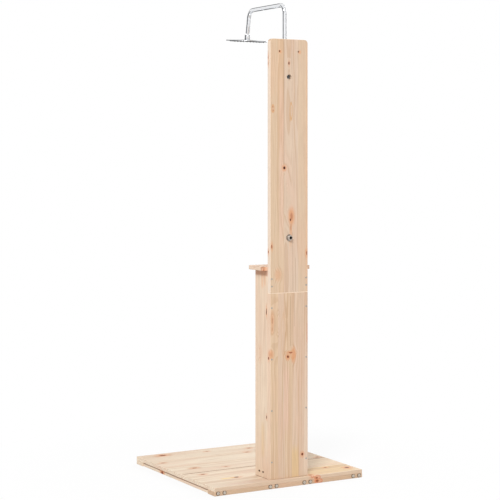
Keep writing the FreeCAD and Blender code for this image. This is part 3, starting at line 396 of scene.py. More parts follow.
backTone = tint(215, 191, 169)
lowerTone = tint(217, 191, 167)
sideTone = tint(233, 212, 190)
deckTone = tint(234, 217, 195)
rimTone = tint(236, 219, 203)
pinkRim = tint(231, 203, 180)
# painted shade: the deck's rear faces and the last board's edges, darker for the less light they get
rearShadeTone = tint(207, 178, 151)
yellowTone = tint(222, 190, 140)
lemonTone = tint(240, 208, 122)
tanTone = tint(204, 158, 112)
orangeTone = tint(228, 176, 134)
pinkTone = tint(228, 190, 172)
redTone = tint(206, 112, 84)
# painted highlight for the back boards' end chamfers
seamHighlightTone = tint(252, 236, 216)
shelfTone = tint(226, 187, 160)
# painted shadow that the shelf casts on the side panel's top
paintedShelfShadow = tint(176, 122, 94)
footShadeTone = tint(120, 80, 58)

# how the deck's wide flat-sawn boards differ from the column's
deckGrain = dict(axes="YXZ", tone=deckTone, ringWidth=0.013, ringContrast=0.36,
                 streakScale=(34.0, 1.1, 34.0), streakContrast=0.36)

# painted shade round each large screw head in a cross batten's face: along and height
endScrewLook = {"height": 0.0115, "apart": 0.0325}
endScrews = []
for joist in ("left_outer_joist", "left_inner_joist", "right_inner_joist", "right_outer_joist"):
    low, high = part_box(joist)
    for side in (-endScrewLook["apart"] / 2, endScrewLook["apart"] / 2):
        endScrews.append(((low[0] + high[0]) / 2 + side, endScrewLook["height"]))

# painted shade in the sunk holes of the right side's foot screws, drawn as small dark knots
footScrewShades = tuple((spotY, 0.0630, 0.0052, 0.0044, 1.0, 0.0) for spotY in (0.2900, 0.3240))

# painted contact shade along the column's foot, where it stands on the deck
footShadeBand = (0.0, 0.4, 0.037, 0.0022, footShadeTone, 0.70)

# each board's grain and marks, in metres from the post's origin:
# axes: the letters for across the grain, along it and through the board
# strips: the glue joints, across, from the board's middle
# knots: across, along, half width, half length, darkness, glow
# eyes, outlines round knots: across, along, half width, half length, share, tone
# bands, soft patches of a tone, some of them painted shade: across, half width, along, reach, tone,
# share
# lines, fine cracks and painted shade lines: across, along, half width, reach, darkness
# a knot or eye that stays at one edge also has its place and half size through the board
pineBoards = {
    "upper_back_board": dict(axes="XZY", tone=backTone, edgeTone=rimTone, endHighlight=seamHighlightTone, seed=3,
                             strips=(-0.048, -0.012, 0.0272), knots=(
        (0.001, 1.9215, 0.0034, 0.0080, 0.85, 0.30), (0.0858, 1.7210, 0.0030, 0.0050, 0.42, 0.35),
        (0.0850, 1.7060, 0.0030, 0.0050, 0.36, 0.35),
        (0.0265, 1.4448, 0.0058, 0.0075, 1.0, 0.60), (-0.0059, 1.2085, 0.0036, 0.0070, 1.0, 0.5),
        (-0.0120, 1.2250, 0.0080, 0.0200, 0.30, 0.65), (-0.0100, 1.176, 0.0030, 0.0200, 0.30, 0.35),
        (0.0910, 1.0900, 0.0034, 0.0110, 0.50, 0.45, 0.385, 0.012),
        (0.0975, 1.0660, 0.0060, 0.0090, 0.50, 0.45, 0.368, 0.005),
        (-0.0940, 1.0558, 0.0045, 0.0110, 0.42, 0.45), (0.0593, 0.9612, 0.0080, 0.0130, 0.0, 0.34),
        (0.0970, 1.9450, 0.0060, 0.0110, 0.42, 0.50, 0.366, 0.0035),
        (0.0970, 1.9180, 0.0060, 0.0090, 0.30, 0.45, 0.367, 0.0035),
        (0.0120, 1.30, 0.012, 0.060, 0.0, 0.0),
        (0.0470, 1.9728, 0.0036, 0.0042, 0.0, 0.62), (-0.0570, 1.9728, 0.0036, 0.0042, 0.0, 0.55)),
        eyes=((-0.0108, 1.7030, 0.0066, 0.0360, 0.90, tanTone),
              (-0.0095, 1.6950, 0.0030, 0.0210, 0.60, tanTone),
              (0.0858, 1.7140, 0.0080, 0.0160, 0.85, tanTone),
              (-0.0110, 1.2220, 0.0085, 0.0250, 0.40, tanTone)),
        bands=((-0.0950, 0.005, 1.450, 0.60, orangeTone, 0.28),
               (0.0450, 0.014, 1.86, 0.30, orangeTone, 0.20),
               (0.0400, 0.010, 1.45, 0.35, pinkTone, 0.45),
               (-0.0080, 0.006, 1.160, 0.07, orangeTone, 0.35),
               (-0.0050, 0.0020, 1.676, 0.020, tanTone, 0.50)),
        lines=((0.0278, 1.7400, 0.0016, 0.2950, 0.90), (0.0278, 1.3300, 0.0014, 0.1000, 0.50),
               (-0.0150, 1.9100, 0.0012, 0.1200, 0.35), (-0.0330, 1.8700, 0.0012, 0.1600, 0.35),
               (-0.0490, 1.9000, 0.0012, 0.1300, 0.30), (-0.0190, 1.0200, 0.0014, 0.1400, 0.45),
               (-0.0340, 0.9600, 0.0012, 0.0800, 0.35))),
    "lower_back_board": dict(axes="XZY", tone=lowerTone, edgeTone=pinkRim, endHighlight=seamHighlightTone, seed=11,
                             ringContrast=0.68, streakContrast=0.60,
                             strips=(-0.052, -0.018, 0.022, 0.058), knots=(
        (0.0070, 0.5869, 0.0058, 0.0070, 0.80, 0.75), (-0.0080, 0.6060, 0.0120, 0.0045, 0.45, 0.60),
        (-0.0230, 0.5950, 0.0060, 0.0160, 0.0, 0.70), (-0.0700, 0.1375, 0.0056, 0.0070, 0.80, 0.55),
        (0.0970, 0.5850, 0.0070, 0.0080, 0.75, 0.35, 0.371, 0.006),
        (0.0970, 0.6030, 0.0070, 0.0100, 0.15, 0.60, 0.382, 0.008),
        (0.0890, 0.7560, 0.0046, 0.0200, 0.25, 0.36), (0.0895, 0.7180, 0.0040, 0.0110, 0.22, 0.32),
        (0.0550, 0.7400, 0.0140, 0.0600, 0.0, 0.0)),
        eyes=((-0.0190, 0.5980, 0.0120, 0.0190, 0.50, tanTone),
              (0.0300, 0.6900, 0.0120, 0.0900, 0.25, tanTone)),
        bands=((-0.0330, 0.0165, 0.080, 0.09, yellowTone, 0.75),
               (-0.0880, 0.0100, 0.360, 0.30, rimTone, 0.30),
               (-0.0985, 0.0035, 0.690, 0.045, redTone, 0.75),
               (0.0150, 0.0120, 0.40, 0.14, pinkTone, 0.50), footShadeBand),
        lines=((-0.0080, 0.7500, 0.0018, 0.1200, 0.60), (-0.0280, 0.8000, 0.0014, 0.0800, 0.40),
               (-0.0480, 0.7600, 0.0012, 0.0900, 0.35), (0.0800, 0.6600, 0.0014, 0.0800, 0.30))),
    "left_side_panel": dict(axes="YZX", tone=sideTone, seed=21, knots=(
        (0.300, 0.640, 0.0060, 0.0080, 0.8, 0.5), (0.283, 0.250, 0.0050, 0.0090, 0.7, 0.5)),
        bands=(footShadeBand,)),
    "right_side_panel": dict(axes="YZX", tone=sideTone, seed=25, knots=(
        (0.3525, 0.7949, 0.0034, 0.0150, 1.0, 0.50), (0.3540, 0.3171, 0.0032, 0.0080, 1.0, 0.40),
        (0.2960, 0.600, 0.0100, 0.0200, 0.0, 0.15)) + footScrewShades,
        bands=((0.3150, 0.008, 0.940, 0.040, orangeTone, 0.50),
               (0.3380, 0.006, 0.945, 0.035, orangeTone, 0.50),
               # painted shadow of the shelf's overhang
               (0.3060, 0.060, 0.976, 0.0200, paintedShelfShadow, 0.74),
               (0.3200, 0.012, 0.210, 0.075, yellowTone, 0.45), footShadeBand)),
    "front_panel": dict(axes="XZY", tone=sideTone, seed=31, strips=(-0.028, 0.030), knots=(
        (0.035, 0.700, 0.0070, 0.0090, 0.9, 0.6), (-0.045, 0.410, 0.0060, 0.0080, 0.6, 0.6),
        (0.010, 0.165, 0.0050, 0.0070, 0.8, 0.5)), bands=(footShadeBand,)),
    "shelf": dict(axes="YXZ", tone=sideTone, edgeTone=shelfTone, seed=41, knots=(
        (0.290, 0.065, 0.0070, 0.0090, 0.6, 0.5), (0.355, 0.119, 0.0080, 0.0070, 0.7, 0.6))),
    "deck_board_1": dict(deckGrain, seed=51, knots=(
        (-0.3527, 0.2740, 0.0130, 0.0190, 0.60, 0.60), (-0.3022, -0.1844, 0.0080, 0.0120, 0.5, 0.45),
        (-0.3300, 0.0400, 0.0070, 0.0100, 0.35, 0.4))),
    "deck_board_2": dict(deckGrain, seed=57, knots=(
        (-0.1939, 0.3505, 0.0080, 0.0120, 0.35, 0.4), (-0.2206, -0.1261, 0.0080, 0.0110, 0.45, 0.45))),
    "deck_board_3": dict(deckGrain, seed=61, knots=(
        (-0.0194, 0.2728, 0.0080, 0.0140, 0.50, 0.50), (0.0251, 0.1286, 0.0060, 0.0120, 0.40, 0.4),
        (0.0541, -0.3609, 0.0080, 0.0110, 0.5, 0.5)),
        bands=((0.0, 0.080, -0.250, 0.14, yellowTone, 0.20),),
        # a painted shade line in the gap beside the next board
        lines=((0.0768, 0.0, 0.0040, 0.40, 0.95),)),
    "deck_board_4": dict(deckGrain, seed=67, knots=(
        (0.1248, 0.3046, 0.0070, 0.0140, 0.5, 0.45), (0.1500, -0.1800, 0.0060, 0.0090, 0.5, 0.4)),
        bands=((0.160, 0.080, -0.250, 0.14, yellowTone, 0.30),)),
    # its edges take the painted rear shade
    "deck_board_5": dict(deckGrain, edgeTone=rearShadeTone, seed=71, knots=(
        (0.2474, 0.1971, 0.0110, 0.0125, 0.9, 0.40), (0.2765, -0.2635, 0.0070, 0.0100, 0.5, 0.5),
        (0.3280, -0.3530, 0.0130, 0.0120, 0.8, 0.7), (0.3800, -0.1160, 0.0090, 0.0110, 0.50, 0.60),
        (0.3970, -0.1400, 0.0300, 0.0080, 0.50, 0.60, 0.0250, 0.0050)),
        eyes=((0.3970, -0.1450, 0.0300, 0.0160, 0.80, redTone, 0.0270, 0.0085),
              (0.3930, -0.1180, 0.0100, 0.0080, 0.85, redTone, 0.0370, 0.0100)),
        bands=((0.2474, 0.010, 0.2380, 0.038, lemonTone, 0.60),
               (0.3200, 0.070, -0.230, 0.15, yellowTone, 0.80))),
    "left_outer_joist": dict(axes="ZYX", tone=deckTone, seed=81, knots=(
        (0.008, -0.10, 0.006, 0.011, 0.6, 0.5, -0.386, 0.012),)),
    "left_inner_joist": dict(axes="XYZ", tone=deckTone, seed=83, knots=(
        (-0.080, 0.15, 0.008, 0.011, 0.7, 0.5),)),
    "right_inner_joist": dict(axes="XYZ", tone=deckTone, seed=85, knots=(
        (0.100, -0.22, 0.007, 0.010, 0.6, 0.5),)),
    "right_outer_joist": dict(axes="ZYX", tone=deckTone, seed=87, knots=(
        (0.0060, -0.1300, 0.0090, 0.0120, 0.60, 0.80, 0.386, 0.012),),
        # painted shadow of the boards' overhang on the joist's face
        lines=((0.0148, 0.0, 0.0034, 0.36, 0.85),)),
    "front_cross_batten": dict(axes="YXZ", tone=deckTone, seed=91, screwShades=endScrews, knots=(
        (-0.37, 0.20, 0.007, 0.010, 0.6, 0.5),)),
    # the rear batten's darker tone is painted shade
    "rear_cross_batten": dict(axes="YXZ", tone=rearShadeTone, seed=93, screwShades=endScrews, knots=(
        (0.37, -0.22, 0.007, 0.010, 0.6, 0.5),
        (0.3970, -0.1430, 0.0300, 0.0095, 0.50, 0.60, 0.0110, 0.0065)),
        eyes=((0.3970, -0.1510, 0.0300, 0.0180, 0.85, redTone, 0.0100, 0.0095),)),
    "left_corner_batten": dict(axes="XZY", tone=sideTone, seed=95),
    "right_corner_batten": dict(axes="XZY", tone=sideTone, seed=97),
    "left_base_cleat": dict(axes="XYZ", tone=sideTone, seed=101),
    "right_base_cleat": dict(axes="XYZ", tone=sideTone, seed=103),
    "left_towel_peg": dict(axes="XYZ", tone=sideTone, seed=105),
    "right_towel_peg": dict(axes="XYZ", tone=sideTone, seed=107),
}

pine = {}
for board, look in pineBoards.items():
    low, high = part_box(board)
    middle = [(a + b) / 2 for a, b in zip(low, high)]
    extent = [b - a for a, b in zip(low, high)]
    pine[board] = pineMaterial(board, middle=middle, extent=extent, **look)
print("pine materials made")


# metals, seals and the other fine materials

fineLook = {"grainSpan": (0.25, 0.75), "darker": 0.90, "bumpStrength": 0.3}


def speckledMaterial(name, colour, roughness, spread, fineness, metallic=0.0, bump=0.0, specular=0.5):
    colour = colour + (1.0,)
    material, tree, surface = startMaterial(name, colour, roughness, metallic, specular)
    where = tree.nodes.new("ShaderNodeTexCoord").outputs["Object"]
    grain = speckle(tree, where, (fineness, fineness, fineness), 3.0)
    rough = grade(tree, grain, *fineLook["grainSpan"], roughness - spread, roughness + spread)
    plug(tree, surface.inputs["Roughness"], rough)
    darker = tuple(c * fineLook["darker"] for c in colour[:3]) + (1.0,)
    plug(tree, surface.inputs["Base Color"], blendColour(tree, grain, darker, colour))
    if bump:
        roughen(tree, surface, grain, bump, fineLook["bumpStrength"])
    return material


finish = {
    "chrome": speckledMaterial("chrome", (0.86, 0.87, 0.89), 0.085, 0.035, 60.0, metallic=1.0),
    "zinc": speckledMaterial("zinc", (0.66, 0.59, 0.51), 0.30, 0.08, 900.0, metallic=1.0, bump=0.0001),
    "dull": speckledMaterial("dull_zinc", (0.42, 0.41, 0.39), 0.42, 0.08, 900.0, metallic=1.0),
    "bronze": speckledMaterial("bronzed", (0.16, 0.07, 0.035), 0.50, 0.08, 900.0, metallic=1.0),
    "iron": speckledMaterial("iron", (0.016, 0.012, 0.010), 0.65, 0.08, 900.0, specular=0.2),
    "black": speckledMaterial("blackened", (0.11, 0.11, 0.11), 0.28, 0.08, 700.0, metallic=1.0),
    "worn": speckledMaterial("worn_steel", (0.66, 0.65, 0.62), 0.26, 0.08, 700.0, metallic=1.0),
    "nickel": speckledMaterial("nickel", (0.56, 0.50, 0.45), 0.24, 0.08, 500.0, metallic=1.0),
    "brass": speckledMaterial("brass", (0.80, 0.60, 0.28), 0.28, 0.06, 500.0, metallic=1.0),
    "ceramic": speckledMaterial("ceramic", (0.84, 0.83, 0.79), 0.22, 0.05, 300.0),
    "rubber": speckledMaterial("rubber", (0.028, 0.028, 0.028), 0.72, 0.06, 700.0, bump=0.0001),
    "nylon": speckledMaterial("nylon", (0.78, 0.78, 0.75), 0.46, 0.05, 400.0),
    "silicone": speckledMaterial("silicone", (0.020, 0.021, 0.023), 0.55, 0.06, 500.0),
}
slotFinish = {"chrome_plate": "chrome", "screw_steel": "zinc", "dark_steel": "black", "brass": "brass",
              "ceramic": "ceramic", "seal_rubber": "rubber", "seat_plastic": "nylon",
              "nozzle_rubber": "silicone"}
ownFinish = {"bracket_washer": "worn", "inlet_washer": "black", "inlet_locknut": "nickel"}
nodeSlot = {entry["node"]: entry["material_slot"] for entry in frame["record"]["subparts"]}

# every carried-over node takes the finish of its slot in the record, or its own
for label, slotName in nodeSlot.items():
    coat = pine[label] if label in pine else finish[ownFinish.get(label, slotFinish[slotName])]
    for slot in nodes[label].material_slots:
        slot.material = coat
print("finishes made")


# making pieces

joinLook = {"weld": 2e-6, "flat": 0.6}


def solidForm(label):  # a CAD node's shape with its loose triangles joined
    form = bmesh.new()
    form.from_mesh(nodes[label].data)
    bmesh.ops.remove_doubles(form, verts=form.verts, dist=joinLook["weld"])
    return form


def roundEdges(form, width, sharpFrom=35, segments=2):
    sharp = [edge for edge in form.edges if len(edge.link_faces) == 2
             and edge.calc_face_angle() > math.radians(sharpFrom)]
    bmesh.ops.bevel(form, geom=sharp, offset=width, offset_type="OFFSET", affect="EDGES",
                    segments=segments, profile=0.5, material=-1, clamp_overlap=True)


def openEdges(grown):  # the free edges among what an extrusion made
    return [item for item in grown
            if isinstance(item, bmesh.types.BMEdge) and len(item.link_faces) == 1]


def madeObject(name, form, coat):
    mesh = bpy.data.meshes.new(name)
    form.to_mesh(mesh)
    form.free()
    mesh.materials.append(coat)
    made = bpy.data.objects.new(name, mesh)
    scene.collection.objects.link(made)
    return made


def piece(name, form, body, coat, stands, smoothTo=33):
    for face in form.faces:
        face.smooth = True
    for edge in form.edges:
        if len(edge.link_faces) == 2:
            edge.smooth = edge.calc_face_angle() < math.radians(smoothTo)
    made = madeObject(name, form, coat)
    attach(made, body)
    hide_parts(stands)


def spun(profile, steps):  # a closed half section, as (radius, height), turned about Z
    form = bmesh.new()
    corners = [form.verts.new((radius, 0, height)) for radius, height in profile]
    for first, second in zip(corners, corners[1:] + corners[:1]):
        form.edges.new((first, second))
    bmesh.ops.spin(form, geom=form.verts[:] + form.edges[:], cent=(0, 0, 0), axis=(0, 0, 1),
                   angle=math.tau, steps=steps, use_merge=True)
    bmesh.ops.remove_doubles(form, verts=form.verts, dist=1e-6)
    bmesh.ops.recalc_face_normals(form, faces=form.faces)
    return form


def moved(form, matrix):
    bmesh.ops.transform(form, matrix=matrix, verts=form.verts)
    return form


# riser and arm: a 19 mm tube, bent twice

tubeLook = {"radius": 0.0095, "bore": 0.0085, "sides": 56, "bend": 0.040, "bendSteps": 20,
            "lean": 10.0, "end": (0.0, 0.006, 2.086),
            "runShares": (0.01, 0.98, 0.01)}  # short ends keep a bend's shading out of a straight run

armLow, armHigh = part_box("shower_arm")
riserLow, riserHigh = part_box("riser_pipe")
riserY = (riserLow[1] + riserHigh[1]) / 2


def tubeStart(height):  # two rings, the wall's outside and inside
    form = bmesh.new()
    for size in (tubeLook["radius"], tubeLook["bore"]):
        bmesh.ops.create_circle(form, segments=tubeLook["sides"], radius=size,
                                matrix=Matrix.Translation((0, riserY, height)))
    return form, form.edges[:]


def pushed(form, edges, step):
    for share in tubeLook["runShares"]:
        grown = bmesh.ops.extrude_edge_only(form, edges=edges)["geom"]
        bmesh.ops.translate(form, vec=step * share,
                            verts=[item for item in grown if isinstance(item, bmesh.types.BMVert)])
        edges = openEdges(grown)
    return edges


def swept(form, edges, centre, angle):
    corners = list({corner for edge in edges for corner in edge.verts})
    last = bmesh.ops.spin(form, geom=corners + edges, cent=centre, axis=(1, 0, 0), angle=angle,
                          steps=tubeLook["bendSteps"], use_merge=False)["geom_last"]
    return [item for item in last if isinstance(item, bmesh.types.BMEdge)]


def closedTube(form, footEdges, endEdges):
    bmesh.ops.bridge_loops(form, edges=footEdges)
    bmesh.ops.bridge_loops(form, edges=endEdges)
    bmesh.ops.recalc_face_normals(form, faces=form.faces)
    return form


def armForm():
    bend = tubeLook["bend"]
    level = armHigh[2] - tubeLook["radius"]
    lean = math.radians(tubeLook["lean"])
    end = Vector(tubeLook["end"])
    crossY = end.y + (level - end.z) * math.tan(lean)
    secondY = crossY + bend * math.tan((math.pi / 2 - lean) / 2)
    runEnd = Vector((0, secondY - bend * math.cos(lean), level - bend + bend * math.sin(lean)))
    form, footEdges = tubeStart(armLow[2])
    edges = pushed(form, footEdges, Vector((0, 0, level - bend - armLow[2])))
    edges = swept(form, edges, (0, riserY - bend, level - bend), math.pi / 2)
    edges = pushed(form, edges, Vector((0, secondY - (riserY - bend), 0)))
    edges = swept(form, edges, (0, secondY, level - bend), math.pi / 2 - lean)
    edges = pushed(form, edges, end - runEnd)
    return closedTube(form, footEdges, edges)


def riserForm():
    form, footEdges = tubeStart(riserLow[2])
    topEdges = pushed(form, footEdges, Vector((0, 0, riserHigh[2] - riserLow[2])))
    return closedTube(form, footEdges, topEdges)


piece("arm_tube", armForm(), "stand", finish["chrome"], "shower_arm")
piece("riser_tube", riserForm(), "stand", finish["chrome"], "riser_pipe")
print("tubes made")


# chrome and brass fittings: the CAD's forms with their edges broken

fittings = {
    "pipe_coupling": 0.0009, "pipe_bracket": 0.0008, "bracket_bolt": 0.0004, "bracket_washer": 0.0003,
    "inlet_washer": 0.0004, "inlet_locknut": 0.0005, "valve_body": 0.0010, "union_nut": 0.0008,
    "bonnet_nut": 0.0007, "lever_cap": 0.0003, "collar_nut": 0.0006,
}
for label, width in fittings.items():
    form = solidForm(label)
    bmesh.ops.dissolve_limit(form, angle_limit=math.radians(joinLook["flat"]), verts=form.verts,
                             edges=form.edges)
    roundEdges(form, width)
    coat = nodes[label].material_slots[0].material
    piece(label + "_smooth", form, body_of(nodes[label])[0], coat, label)
print("fittings rounded")


# shower head: a thin domed disc and its field of nozzles

headLook = {"radius": 0.100, "rim": 0.003, "rimRound": 0.001, "boss": 0.007, "collar": 0.016,
            "bossRadius": 0.0098, "bossTop": 0.012, "inlet": 0.005, "inletFloor": 0.0055,
            "faceRadius": 0.0859, "faceDepth": 0.002, "edgeRound": 0.0004, "sides": 144,
            "drop": 0.0237, "foreTilt": -4.2, "sideTilt": -0.7}
ballCentre = [joint["pos_m"] for joint in frame["record"]["behaviour"]["joints"]
              if joint["name"] == "head_tilt_side"][0]
headTurn = (Matrix.Translation(ballCentre) @ Matrix.Rotation(math.radians(headLook["foreTilt"]), 4, "X")
            @ Matrix.Rotation(math.radians(headLook["sideTilt"]), 4, "Y")
            @ Matrix.Translation((0, 0, -headLook["drop"])))

shellForm = spun([
    (headLook["faceRadius"], 0.0), (headLook["radius"] - headLook["rimRound"], 0.0),
    (headLook["radius"], headLook["rimRound"]),
    (headLook["radius"], headLook["rim"] - headLook["rimRound"]),
    (headLook["radius"] - headLook["rimRound"], headLook["rim"]),
    (headLook["collar"], headLook["boss"]), (headLook["bossRadius"], headLook["boss"]),
    (headLook["bossRadius"], headLook["bossTop"]), (headLook["inlet"], headLook["bossTop"]),
    (headLook["inlet"], headLook["inletFloor"]),
    (headLook["faceRadius"], headLook["faceDepth"])], headLook["sides"])
roundEdges(shellForm, headLook["edgeRound"])
piece("head_disc", moved(shellForm, headTurn), "shower_head", finish["chrome"],
      "head_shell")

nozzleLook = {"rings": 5, "step": 0.016, "perRing": 6, "root": 0.0021, "tip": 0.0015, "length": 0.003,
              "bore": 0.0007, "boreDepth": 0.0018, "sides": 12, "sheetRadius": 0.0858,
              "sheetBottom": 0.001, "sheetTop": 0.002, "sheetSides": 96}


def addNozzle(form, spot):
    depth = nozzleLook["length"] + nozzleLook["sheetBottom"]
    middle = Vector((0, 0, nozzleLook["sheetBottom"] - depth / 2))
    made = bmesh.ops.create_cone(form, cap_ends=True, cap_tris=False, segments=nozzleLook["sides"],
                                 radius1=nozzleLook["tip"], radius2=nozzleLook["root"], depth=depth,
                                 matrix=Matrix.Translation(spot + middle))
    corners = set(made["verts"])
    tip = min((face for corner in corners for face in corner.link_faces if len(face.verts) > 4),
              key=lambda face: face.calc_center_median().z)
    bmesh.ops.inset_region(form, faces=[tip], thickness=nozzleLook["tip"] - nozzleLook["bore"])
    hole = bmesh.ops.extrude_discrete_faces(form, faces=[tip])["faces"]
    bmesh.ops.translate(form, vec=(0, 0, nozzleLook["boreDepth"]), verts=hole[0].verts)


sheetForm = spun([(0.0, nozzleLook["sheetBottom"]),
                  (nozzleLook["sheetRadius"], nozzleLook["sheetBottom"]),
                  (nozzleLook["sheetRadius"], nozzleLook["sheetTop"]),
                  (0.0, nozzleLook["sheetTop"])], nozzleLook["sheetSides"])
for ringNumber in range(nozzleLook["rings"] + 1):
    count = max(1, nozzleLook["perRing"] * ringNumber)
    reach = ringNumber * nozzleLook["step"]
    for step in range(count):
        turn = math.tau * step / count
        addNozzle(sheetForm, Vector((reach * math.cos(turn), reach * math.sin(turn), 0.0)))
piece("nozzle_field", moved(sheetForm, headTurn), "shower_head", finish["silicone"],
      "nozzle_sheet")
print("shower head made")


# screws: heads with a cross recess, one for each of the CAD's

screwLook = {"crossWide": 0.13, "crossLong": 0.56, "crossDeep": 0.0016, "crossTaper": 0.75,
             "point": 0.004, "pointShare": 0.15, "rimFrom": 0.9}
flatHead = {"shank": 0.002, "rise": 0.0024, "topShare": 0.96, "rimDrop": 0.0002, "straight": False}
panHead = {"shank": 0.0025, "rise": 0.003, "topShare": 0.86, "rimDrop": 0.0006, "straight": True}


def screwPlaces(label):  # each screw's head top, its outward direction, its length and head radius
    form = solidForm(label)
    waiting = set(form.verts)
    places = []
    while waiting:
        queue = [waiting.pop()]
        island = []
        while queue:
            corner = queue.pop()
            island.append(corner.co.copy())
            for edge in corner.link_edges:
                other = edge.other_vert(corner)
                if other in waiting:
                    waiting.remove(other)
                    queue.append(other)
        low = Vector([min(point[n] for point in island) for n in range(3)])
        high = Vector([max(point[n] for point in island) for n in range(3)])
        axis = max(range(3), key=lambda n: high[n] - low[n])
        middle = (low + high) / 2
        radius = (high - low)[(axis + 1) % 3] / 2
        wide = []
        for point in island:
            spoke = point - middle
            spoke[axis] = 0
            if spoke.length > screwLook["rimFrom"] * radius:
                wide.append(point[axis])
        outward = 1 if sum(wide) / len(wide) > middle[axis] else -1
        top = middle.copy()
        top[axis] = high[axis] if outward > 0 else low[axis]
        direction = Vector([outward if n == axis else 0 for n in range(3)])
        places.append((top, direction, high[axis] - low[axis], radius))
    form.free()
    return places


def crossHead(length, headRadius, head):  # one screw, its head's top at the origin
    form = bmesh.new()
    wide, long = (screwLook[key] * headRadius for key in ("crossWide", "crossLong"))
    outline = [(long, -wide), (long, wide), (wide, wide), (wide, long), (-wide, long), (-wide, wide),
               (-long, wide), (-long, -wide), (-wide, -wide), (-wide, -long), (wide, -long),
               (wide, -wide)]
    inner = [form.verts.new((x, y, 0)) for x, y in outline]
    cross = form.faces.new(inner)
    corners = range(len(outline))
    topRadius = headRadius * head["topShare"]
    turns = [math.tau / len(outline) * (corner - 0.5) for corner in corners]
    ring = [form.verts.new((topRadius * math.cos(turn), topRadius * math.sin(turn), 0))
            for turn in turns]
    for corner in corners:
        form.faces.new((inner[corner - 1], ring[corner - 1], ring[corner], inner[corner]))
    outer = [form.edges.get((ring[corner - 1], ring[corner])) for corner in corners]
    profile = [(headRadius, -head["rimDrop"])]
    if head["straight"]:
        profile.append((headRadius, -head["rise"]))
    profile += [(head["shank"], -head["rise"]), (head["shank"], screwLook["point"] - length),
                (head["shank"] * screwLook["pointShare"], -length)]
    for radius, height in profile:
        outer = openEdges(bmesh.ops.extrude_edge_only(form, edges=outer)["geom"])
        for corner in {corner for edge in outer for corner in edge.verts}:
            flat = Vector((corner.co.x, corner.co.y, 0)).normalized() * radius
            corner.co = Vector((flat.x, flat.y, height))
    bmesh.ops.contextual_create(form, geom=outer)
    well = bmesh.ops.extrude_discrete_faces(form, faces=[cross])["faces"][0]
    for corner in well.verts:
        corner.co.x *= screwLook["crossTaper"]
        corner.co.y *= screwLook["crossTaper"]
        corner.co.z = -screwLook["crossDeep"]
    bmesh.ops.recalc_face_normals(form, faces=form.faces)
    return form


screwGroups = {
    "deck_board_screws": (flatHead, "dull"), "joist_end_screws": (panHead, "zinc"),
    "cleat_deck_screws": (flatHead, "dull"), "short_screws": (flatHead, "iron"),
    "back_board_screws": (flatHead, "dull"), "shelf_screws": (flatHead, "dull"),
    "peg_screws": (flatHead, "bronze"),
}
turnDice = random.Random(5)
for label, (head, coat) in screwGroups.items():
    group = bmesh.new()
    for top, direction, length, radius in screwPlaces(label):
        one = crossHead(length, radius, head)
        turn = Vector((0, 0, 1)).rotation_difference(direction).to_matrix().to_4x4()
        spin = Matrix.Rotation(turnDice.uniform(0, math.pi / 2), 4, "Z")
        moved(one, Matrix.Translation(top) @ turn @ spin)
        store = bpy.data.meshes.new("screw_store")
        one.to_mesh(store)
        one.free()
        group.from_mesh(store)
        bpy.data.meshes.remove(store)
    piece(label[:-1] + "_heads", group, "stand", finish[coat], label)
print("screws made")


# turned towel pegs

pegLook = {"radius": 0.007, "knob": 0.011, "neck": 0.040, "flare": 0.048, "length": 0.062,
           "dome": 0.003, "edgeRound": 0.0012, "roundFrom": 20, "roundSteps": 3, "sides": 40}
for label in ("left_towel_peg", "right_towel_peg"):
    low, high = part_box(label)
    pegForm = spun([(0.0, 0.0), (pegLook["radius"], 0.0), (pegLook["radius"], pegLook["neck"]),
                    (pegLook["knob"], pegLook["flare"]),
                    (pegLook["knob"], pegLook["length"] - pegLook["dome"]),
                    (pegLook["knob"] - pegLook["dome"], pegLook["length"]),
                    (0.0, pegLook["length"])], pegLook["sides"])
    roundEdges(pegForm, pegLook["edgeRound"], pegLook["roundFrom"], pegLook["roundSteps"])
    foot = Vector(((low[0] + high[0]) / 2, high[1], (low[2] + high[2]) / 2))
    moved(pegForm, Matrix.Translation(foot) @ Matrix.Rotation(math.radians(90), 4, "X"))
    piece(label + "_turned", pegForm, "stand", pine[label], label)
print("pegs turned")


# hose inlet: its thread

threadLook = {"outer": 0.01048, "root": 0.0094, "pitch": 0.001814, "body": 0.0115, "bore": 0.007,
              "length": 0.046, "threadLength": 0.0095, "sides": 48, "startGap": 0.0004,
              "endGap": 0.0002, "ridge": (0.38, 0.52, 0.9)}  # where a crest starts, ends and dies
nippleLow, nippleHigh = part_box("inlet_nipple")
bodyEnd = threadLook["length"] - threadLook["threadLength"]
crestStart, crestEnd, ridgeEnd = (share * threadLook["pitch"] for share in threadLook["ridge"])
nippleProfile = [(threadLook["bore"], 0.0), (threadLook["body"], 0.0), (threadLook["body"], bodyEnd),
                 (threadLook["root"], bodyEnd)]
ridge = bodyEnd + threadLook["startGap"]
while ridge + threadLook["pitch"] < threadLook["length"] - threadLook["endGap"]:
    nippleProfile += [(threadLook["root"], ridge), (threadLook["outer"], ridge + crestStart),
                      (threadLook["outer"], ridge + crestEnd), (threadLook["root"], ridge + ridgeEnd)]
    ridge += threadLook["pitch"]
nippleProfile += [(threadLook["root"], threadLook["length"]), (threadLook["bore"], threadLook["length"])]
nippleForm = spun(nippleProfile, threadLook["sides"])
nippleFoot = Vector((0, nippleLow[1], (nippleLow[2] + nippleHigh[2]) / 2))
moved(nippleForm, Matrix.Translation(nippleFoot) @ Matrix.Rotation(math.radians(-90), 4, "X"))
piece("inlet_thread", nippleForm, "stand", finish["nickel"], "inlet_nipple")
print("inlet made")


# floor, background and light

